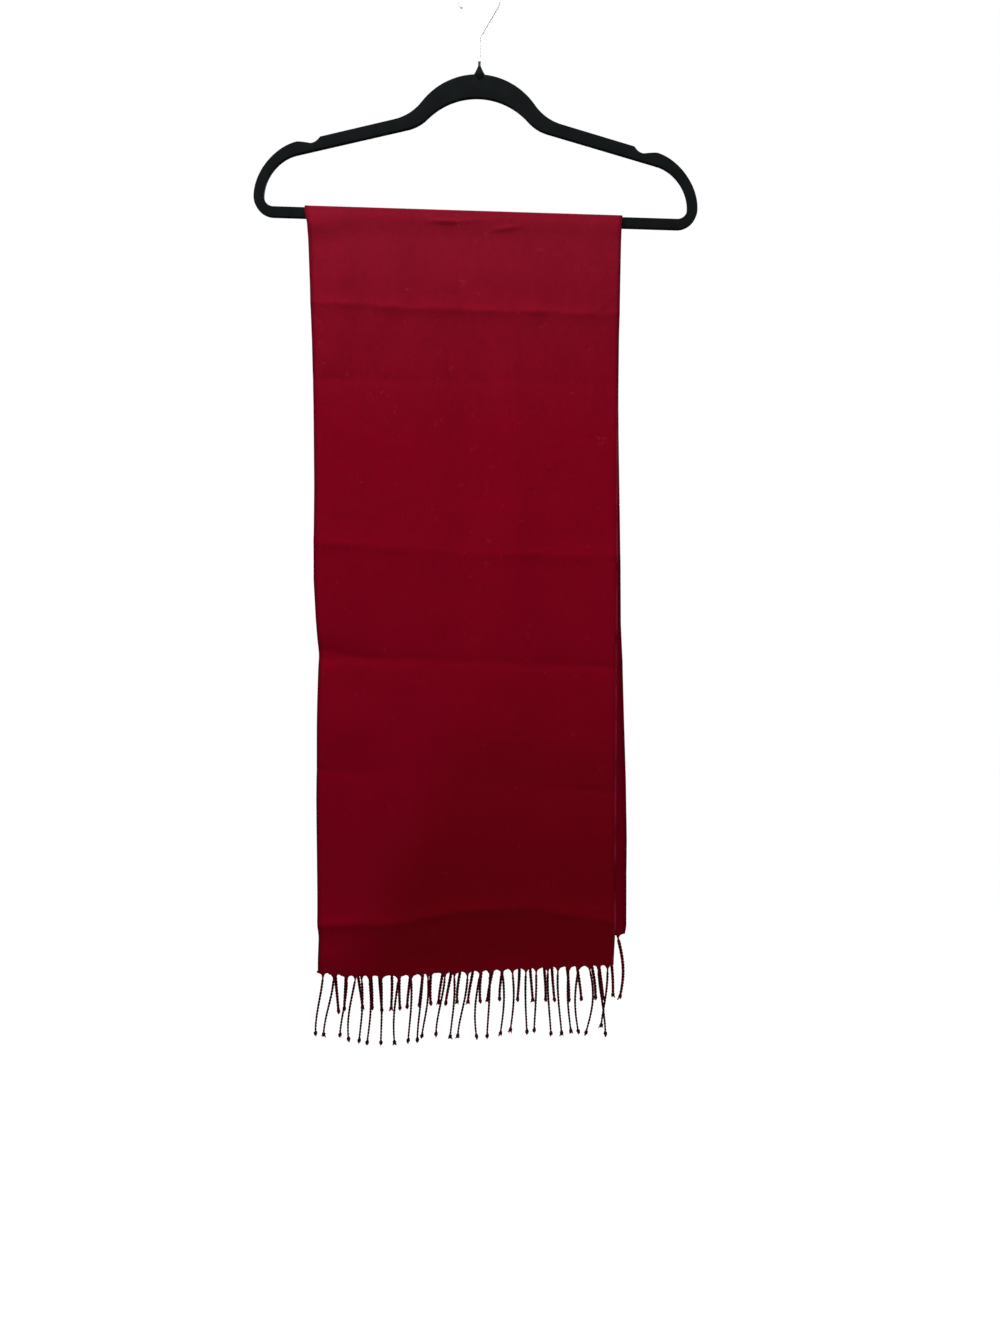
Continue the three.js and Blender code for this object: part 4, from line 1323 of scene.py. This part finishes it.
@dataclass
class HangerFrame:
    """The flocked frame: a band round its window, with rounded edges and a hub cone.

    The hub is given by its profile, as radii and heights from the hub point. The other places are
    of the right half, across from the middle and up from that point.
    """

    sizes: HangerSizes = field(default_factory=HangerSizes)
    arch_outer: Arch = Arch(71.0, -76.0, 56.5)
    arch_inner: Arch = Arch(70.0, -97.5, 50.0)
    arm_outer: Arm = Arm((84.0, -51.0), (157.0, -70.0), -0.26)
    arm_inner: Arm = Arm((70.0, -60.0), (180.0, -88.1), -0.256)
    notch_bottom: tuple[float, float] = (167.0, -76.5)
    notch_lip: tuple[float, float] = (180.0, -75.4)
    notch_fall: float = 5.5
    notch_rise: float = 6.0
    reach_outer: tuple[float, float] = (21.7, 23.9)
    reach_inner: tuple[float, float] = (17.9, 18.7)
    knee: float = 40.0
    steps: int = 14
    edge_segments: int = 4
    sharp_angle: float = math.radians(60)
    hub_steps: int = 40
    hub: tuple[tuple[float, float], ...] = (
        (0.0, -12.0), (1.8, -11.6), (3.3, -10.2), (4.5, -8.2), (5.3, -6.4), (5.7, -5.2),
        (5.0, -3.8), (4.2, -2.6), (3.6, -1.3), (3.0, 0.0), (2.4, 1.2), (1.95, 2.2),
        (1.75, 3.0), (1.6, 3.0), (1.6, -4.0), (0.0, -4.0),
    )

    def curve(self, points: Sequence[tuple[float, float]], steps: int) -> list[Vector]:
        """A Bezier curve of any degree.

        Args:
            points: its end and control points.
            steps: how many stretches it is cut into.

        Returns:
            Its points without the last.
        """
        result = []
        for step in range(steps):
            layer = [Vector(point) for point in points]
            while len(layer) > 1:
                layer = [a.lerp(b, step / steps) for a, b in zip(layer, layer[1:])]
            result.append(layer[0])
        return result

    def arc(self, centre: tuple[float, float], radius: float, start: float, end: float) -> list[Vector]:
        """The points of an arc without its last, from one angle to another."""
        angles = [start + (end - start) * step / self.steps for step in range(self.steps)]
        x, z = centre
        return [Vector((x + radius * math.cos(a), z + radius * math.sin(a))) for a in angles]

    def arch_and_arm(self, arch: Arch, arm: Arm) -> list[Vector]:
        """The points from the top of the arch to the arm's end, without that."""
        leave_z = arch.centre_z + math.sqrt(arch.radius**2 - arch.leave_x**2)
        slope = -arch.leave_x / (leave_z - arch.centre_z)
        rise = arm.start[1] - leave_z + slope * arch.leave_x - arm.slope * arm.start[0]
        meet_x = rise / (slope - arm.slope)
        meet = (meet_x, leave_z + slope * (meet_x - arch.leave_x))
        leave_angle = math.acos(arch.leave_x / arch.radius)
        hump = self.arc((0.0, arch.centre_z), arch.radius, math.pi / 2, leave_angle)
        foot = self.curve([(arch.leave_x, leave_z), meet, arm.start], self.steps)
        return [*hump, *foot, *self.curve([arm.start, arm.end], self.steps)]

    def end_and_bar(
        self, start: tuple[float, float], slope: float, reach: tuple[float, float], radius: float
    ) -> list[Vector]:
        """The points round the frame's end to the bar.

        Args:
            start: where the end curve starts.
            slope: its slope there.
            reach: how far its two handles reach.
            radius: the corner's radius.

        Returns:
            The points, up to and with the start of the bar's straight edge.
        """
        s = self.sizes
        side = (s.corner_x + radius, s.corner_z)
        handles = [
            (start[0] + reach[0], start[1] + reach[0] * slope),
            (side[0], side[1] + reach[1]),
        ]
        end = self.curve([start, *handles, side], 2 * self.steps)
        corner = self.arc((s.corner_x, s.corner_z), radius, 0.0, -math.pi / 2)
        return [*end, *corner, Vector((s.corner_x, s.corner_z - radius))]

    def half_outline(self, outer: bool) -> list[Vector]:
        """The right half of the outer or the inner edge of the band, with equal counts."""
        if outer:
            arm, bottom, lip = self.arm_outer, self.notch_bottom, self.notch_lip
            path = self.arch_and_arm(self.arch_outer, arm)
            path += self.curve([arm.end, (bottom[0] - self.notch_fall, bottom[1]), bottom], self.steps)
            path += self.curve([bottom, (bottom[0] + self.notch_rise, lip[1]), lip], self.steps)
            return path + self.end_and_bar(lip, arm.slope, self.reach_outer, self.sizes.corner_outer)
        arm = self.arm_inner
        knee = (arm.end[0] - self.knee, arm.end[1] - self.knee * arm.slope)
        path = self.arch_and_arm(self.arch_inner, Arm(arm.start, knee, arm.slope))
        path += self.curve([knee, arm.end], 2 * self.steps)
        return path + self.end_and_bar(arm.end, arm.slope, self.reach_inner, self.sizes.corner_inner)

    def add_loop(self, bm: bmesh.types.BMesh, outer: bool) -> list[bmesh.types.BMEdge]:
        """Draws one closed edge of the band in the frame's plane and returns its edges."""
        right = self.half_outline(outer)
        left = [Vector((-p.x, p.y)) for p in right[:0:-1]]
        y = -self.sizes.thickness / 2
        verts = [bm.verts.new((p.x, y, p.y)) for p in [*right, *left]]
        return [bm.edges.new((a, b)) for a, b in zip(verts, verts[1:] + verts[:1])]

    def plate(self) -> bmesh.types.BMesh:
        """Returns: the band, square round the hub point, with rounded edges."""
        bm = bmesh.new()
        edges = self.add_loop(bm, True) + self.add_loop(bm, False)
        bmesh.ops.bridge_loops(bm, edges=edges)
        faces = bmesh.ops.extrude_face_region(bm, geom=bm.faces[:])["geom"]
        moved = [item for item in faces if isinstance(item, bmesh.types.BMVert)]
        bmesh.ops.translate(bm, verts=moved, vec=(0.0, self.sizes.thickness, 0.0))
        bmesh.ops.recalc_face_normals(bm, faces=bm.faces[:])
        sharp = [edge for edge in bm.edges if edge.calc_face_angle(0.0) > self.sharp_angle]
        bmesh.ops.bevel(
            bm, geom=sharp, offset=self.sizes.edge, offset_type="OFFSET", segments=self.edge_segments,
            profile=0.5, affect="EDGES", material=-1, clamp_overlap=True,
        )
        tip = Matrix.Rotation(self.sizes.tilt, 3, "Y")
        bmesh.ops.rotate(bm, verts=bm.verts[:], cent=(0, 0, 0), matrix=tip)
        return bm

    def add_hub(self, bm: bmesh.types.BMesh) -> None:
        """Turns the hub cone, with the bore that the wire stands in, about the upright axis."""
        verts = [bm.verts.new((radius, 0.0, z)) for radius, z in self.hub]
        edges = [bm.edges.new(pair) for pair in zip(verts, verts[1:])]
        bmesh.ops.spin(
            bm, geom=[*verts, *edges], cent=(0, 0, 0), axis=(0, 0, 1), angle=2 * math.pi,
            steps=self.hub_steps, use_merge=True,
        )
        bmesh.ops.remove_doubles(bm, verts=bm.verts[:], dist=MERGE_DISTANCE)
        bmesh.ops.recalc_face_normals(bm, faces=bm.faces[:])

    def build(self, material: bpy.types.Material) -> bpy.types.Object:
        """Makes the frame.

        Args:
            material: the flock.

        Returns:
            The piece, which stands for its CAD node.
        """
        bm = self.plate()
        self.add_hub(bm)
        bmesh.ops.translate(bm, verts=bm.verts[:], vec=(0.0, 0.0, self.sizes.hub_z))
        bmesh.ops.scale(bm, verts=bm.verts[:], vec=(MM, MM, MM))
        piece = add_piece("flocked_frame", mesh_from(bm, "flocked_frame"), material)
        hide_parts("hanger_frame")
        return piece


@dataclass
class HookWire:
    """The plated wire hook: it stands up, leans to the right and turns over to the left.

    Its tip is rounded in steps, each at an angle on from the last full section.
    """

    radius: float = 1.3
    sides: int = 20
    arc_radius: float = 20.0
    lean: float = math.radians(31)
    tip: float = math.radians(208)
    bend_radius: float = 9.0
    bottom: float = -92.0
    shank_places: tuple[float, ...] = (0.0, 0.35, 0.7)
    steps_per_radian: int = 18
    fewest_steps: int = 4
    tip_turns: tuple[float, ...] = (0.35, 0.7, 1.05, 1.4)
    tip_length: float = 0.6

    def arc(self, centre: Vector, radius: float, start: float, end: float) -> list[Vector]:
        """The points of an arc in the hook's plane, ends included."""
        count = max(self.fewest_steps, int(abs(end - start) * self.steps_per_radian))
        angles = [start + (end - start) * step / count for step in range(count + 1)]
        return [centre + Vector((math.cos(a), 0.0, math.sin(a))) * radius for a in angles]

    def route(self) -> list[Vector]:
        """Returns: the points of the wire's middle, from the hub to the tip."""
        centre = Vector((0.0, 0.0, self.radius - self.arc_radius))
        bend_z = centre.z - self.arc_radius / math.sin(self.lean)
        trim = self.bend_radius * math.tan(self.lean / 2)
        bend_centre = Vector((self.bend_radius, 0.0, bend_z - trim))
        bend = self.arc(bend_centre, self.bend_radius, math.pi, math.pi - self.lean)
        over = self.arc(centre, self.arc_radius, -self.lean, self.tip)
        foot = Vector((0.0, 0.0, self.bottom))
        shank = [foot.lerp(bend[0], part) for part in self.shank_places]
        return [*shank, *bend, *over]

    def build(self, material: bpy.types.Material) -> bpy.types.Object:
        """Makes the hook.

        Args:
            material: the plating.

        Returns:
            The piece, which stands for its CAD node.
        """
        points = self.route()
        radii = [self.radius] * len(points)
        end, heading = points[-1], (points[-1] - points[-2]).normalized()
        for turn in self.tip_turns:
            points.append(end + heading * self.radius * self.tip_length * math.sin(turn))
            radii.append(self.radius * math.cos(turn))
        bundle = ThreadBundle("hook_chrome_wire", self.sides)
        bundle.add(points, radii)
        piece = add_piece("hook_chrome_wire", bundle.mesh(), material)
        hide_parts("hook_wire")
        return piece


@dataclass
class Lamp:
    """A soft rectangular studio lamp: its place, aim, size and power."""

    name: str
    place: tuple[float, float, float]
    aim: tuple[float, float, float]
    size: tuple[float, float]
    power: float

    def build(self) -> None:
        """Puts the lamp in the scene, turned to what it lights."""
        light = bpy.data.lights.new(self.name, "AREA")
        light.shape = "RECTANGLE"
        light.size, light.size_y = self.size
        light.energy = self.power
        lamp = bpy.data.objects.new(self.name, light)
        lamp.location = self.place
        heading = Vector(self.aim) - Vector(self.place)
        lamp.rotation_euler = heading.to_track_quat("-Z", "Y").to_euler()
        bpy.context.scene.collection.objects.link(lamp)


@dataclass
class Studio:
    """The plain pale floor, the soft lamps and the camera at the photograph's angle."""

    camera_place: tuple[float, float, float] = (0.0205, -1.0273, -0.6256)
    camera_pitch: float = math.radians(-3.2)
    focal_px: float = 1000.0
    frame_height_px: float = 1333.0
    sensor: float = 36.0
    floor_z: float = -1.75
    floor_radius: float = 9.0
    floor_sides: int = 96
    backdrop: Colour = (1.0, 1.0, 1.0)
    fill: Colour = (0.11, 0.11, 0.11)

    def add_camera(self) -> None:
        """Sets the camera where the photograph was taken from."""
        data = bpy.data.cameras.new("camera")
        data.sensor_width = self.sensor
        data.lens = self.focal_px * self.sensor / self.frame_height_px
        camera = bpy.data.objects.new("camera", data)
        camera.location = self.camera_place
        camera.rotation_euler = (math.pi / 2 + self.camera_pitch, 0.0, 0.0)
        bpy.context.scene.collection.objects.link(camera)
        bpy.context.scene.camera = camera

    def add_floor(self) -> None:
        """Lays the floor."""
        bm = bmesh.new()
        bmesh.ops.create_circle(bm, cap_ends=True, segments=self.floor_sides, radius=self.floor_radius)
        bmesh.ops.translate(bm, verts=bm.verts[:], vec=(0.0, 0.0, self.floor_z))
        mesh = mesh_from(bm, "studio_floor", smooth=False)
        mesh.materials.append(BackdropFinish().material())
        floor = bpy.data.objects.new("studio_floor", mesh)
        bpy.context.scene.collection.objects.link(floor)

    def add_world(self) -> None:
        """Makes a pale surround that lights the object only softly."""
        world = bpy.data.worlds.new("studio")
        bpy.context.scene.world = world
        paint = Paint(world)
        seen = paint.node("ShaderNodeLightPath").outputs["Is Camera Ray"]
        lighting, shown = (
            paint.node("ShaderNodeBackground", {}, {"Color": (*colour, 1.0)}).outputs[0]
            for colour in (self.fill, self.backdrop)
        )
        mixed = paint.node("ShaderNodeMixShader", {}, {0: seen, 1: lighting, 2: shown})
        paint.node("ShaderNodeOutputWorld", {}, {"Surface": mixed.outputs[0]})

    def build(self) -> None:
        """Sets up the whole studio, with colours shown as they are."""
        bpy.context.scene.view_settings.view_transform = "Standard"
        self.add_camera()
        self.add_floor()
        self.add_world()
        lamps = (
            Lamp("key_lamp", (-0.85, -0.85, 0.35), (0.0, 0.0, -0.5), (0.6, 0.4), 11.6),
            Lamp("front_lamp", (0.22, -0.98, 0.35), (0.0, 0.0, -0.5), (0.5, 0.4), 7.4),
            Lamp("top_lamp", (-0.1, -0.26, 0.42), (0.0, 0.0, -0.6), (0.5, 0.16), 2.2),
            Lamp("low_lamp", (0.7, -0.7, -0.95), (0.0, 0.0, -0.85), (0.4, 0.4), 1.4),
            Lamp("back_lamp", (0.4, 1.1, 0.5), (0.0, 0.0, -0.5), (0.9, 0.6), 26.0),
        )
        for lamp in lamps:
            lamp.build()


def report(piece: bpy.types.Object) -> None:
    """Logs a piece's triangles."""
    evaluated = piece.evaluated_get(bpy.context.evaluated_depsgraph_get())
    mesh = evaluated.to_mesh()
    mesh.calc_loop_triangles()
    LOG.info("%s: %d triangles", piece.name, len(mesh.loop_triangles))
    evaluated.to_mesh_clear()


def main() -> None:
    logging.basicConfig(level=logging.INFO, format="%(name)s: %(message)s")
    Studio().build()
    cloth = ScarfCloth(FRONT_FALL, BACK_FALL)
    scarf, length = cloth.build()
    yarn = YarnFinish().material()
    fringes = [
        Fringe(
            "front_tassels", "fringe_front", FRONT_FALL, FRONT_TASSELS, seed=5,
            ply_radius=0.64, ply_offset=0.5, painted_shade_over=9.0,
        ).build(yarn),
        Fringe(
            "back_tassels", "fringe_back", BACK_FALL, BACK_TASSELS, seed=9,
            # The back tassels' painted shade grows over a much longer stretch.
            ply_radius=0.9, ply_offset=0.7, painted_shade_over=110.0,
        ).build(yarn),
    ]
    hanger = HangerFrame().build(FlockFinish().material())
    hook = HookWire().build(ChromeFinish().material())
    LOG.info("cloth length %.3f m", length)
    for piece in (scarf, *fringes, hanger, hook):
        report(piece)


if __name__ == "__main__":
    main()
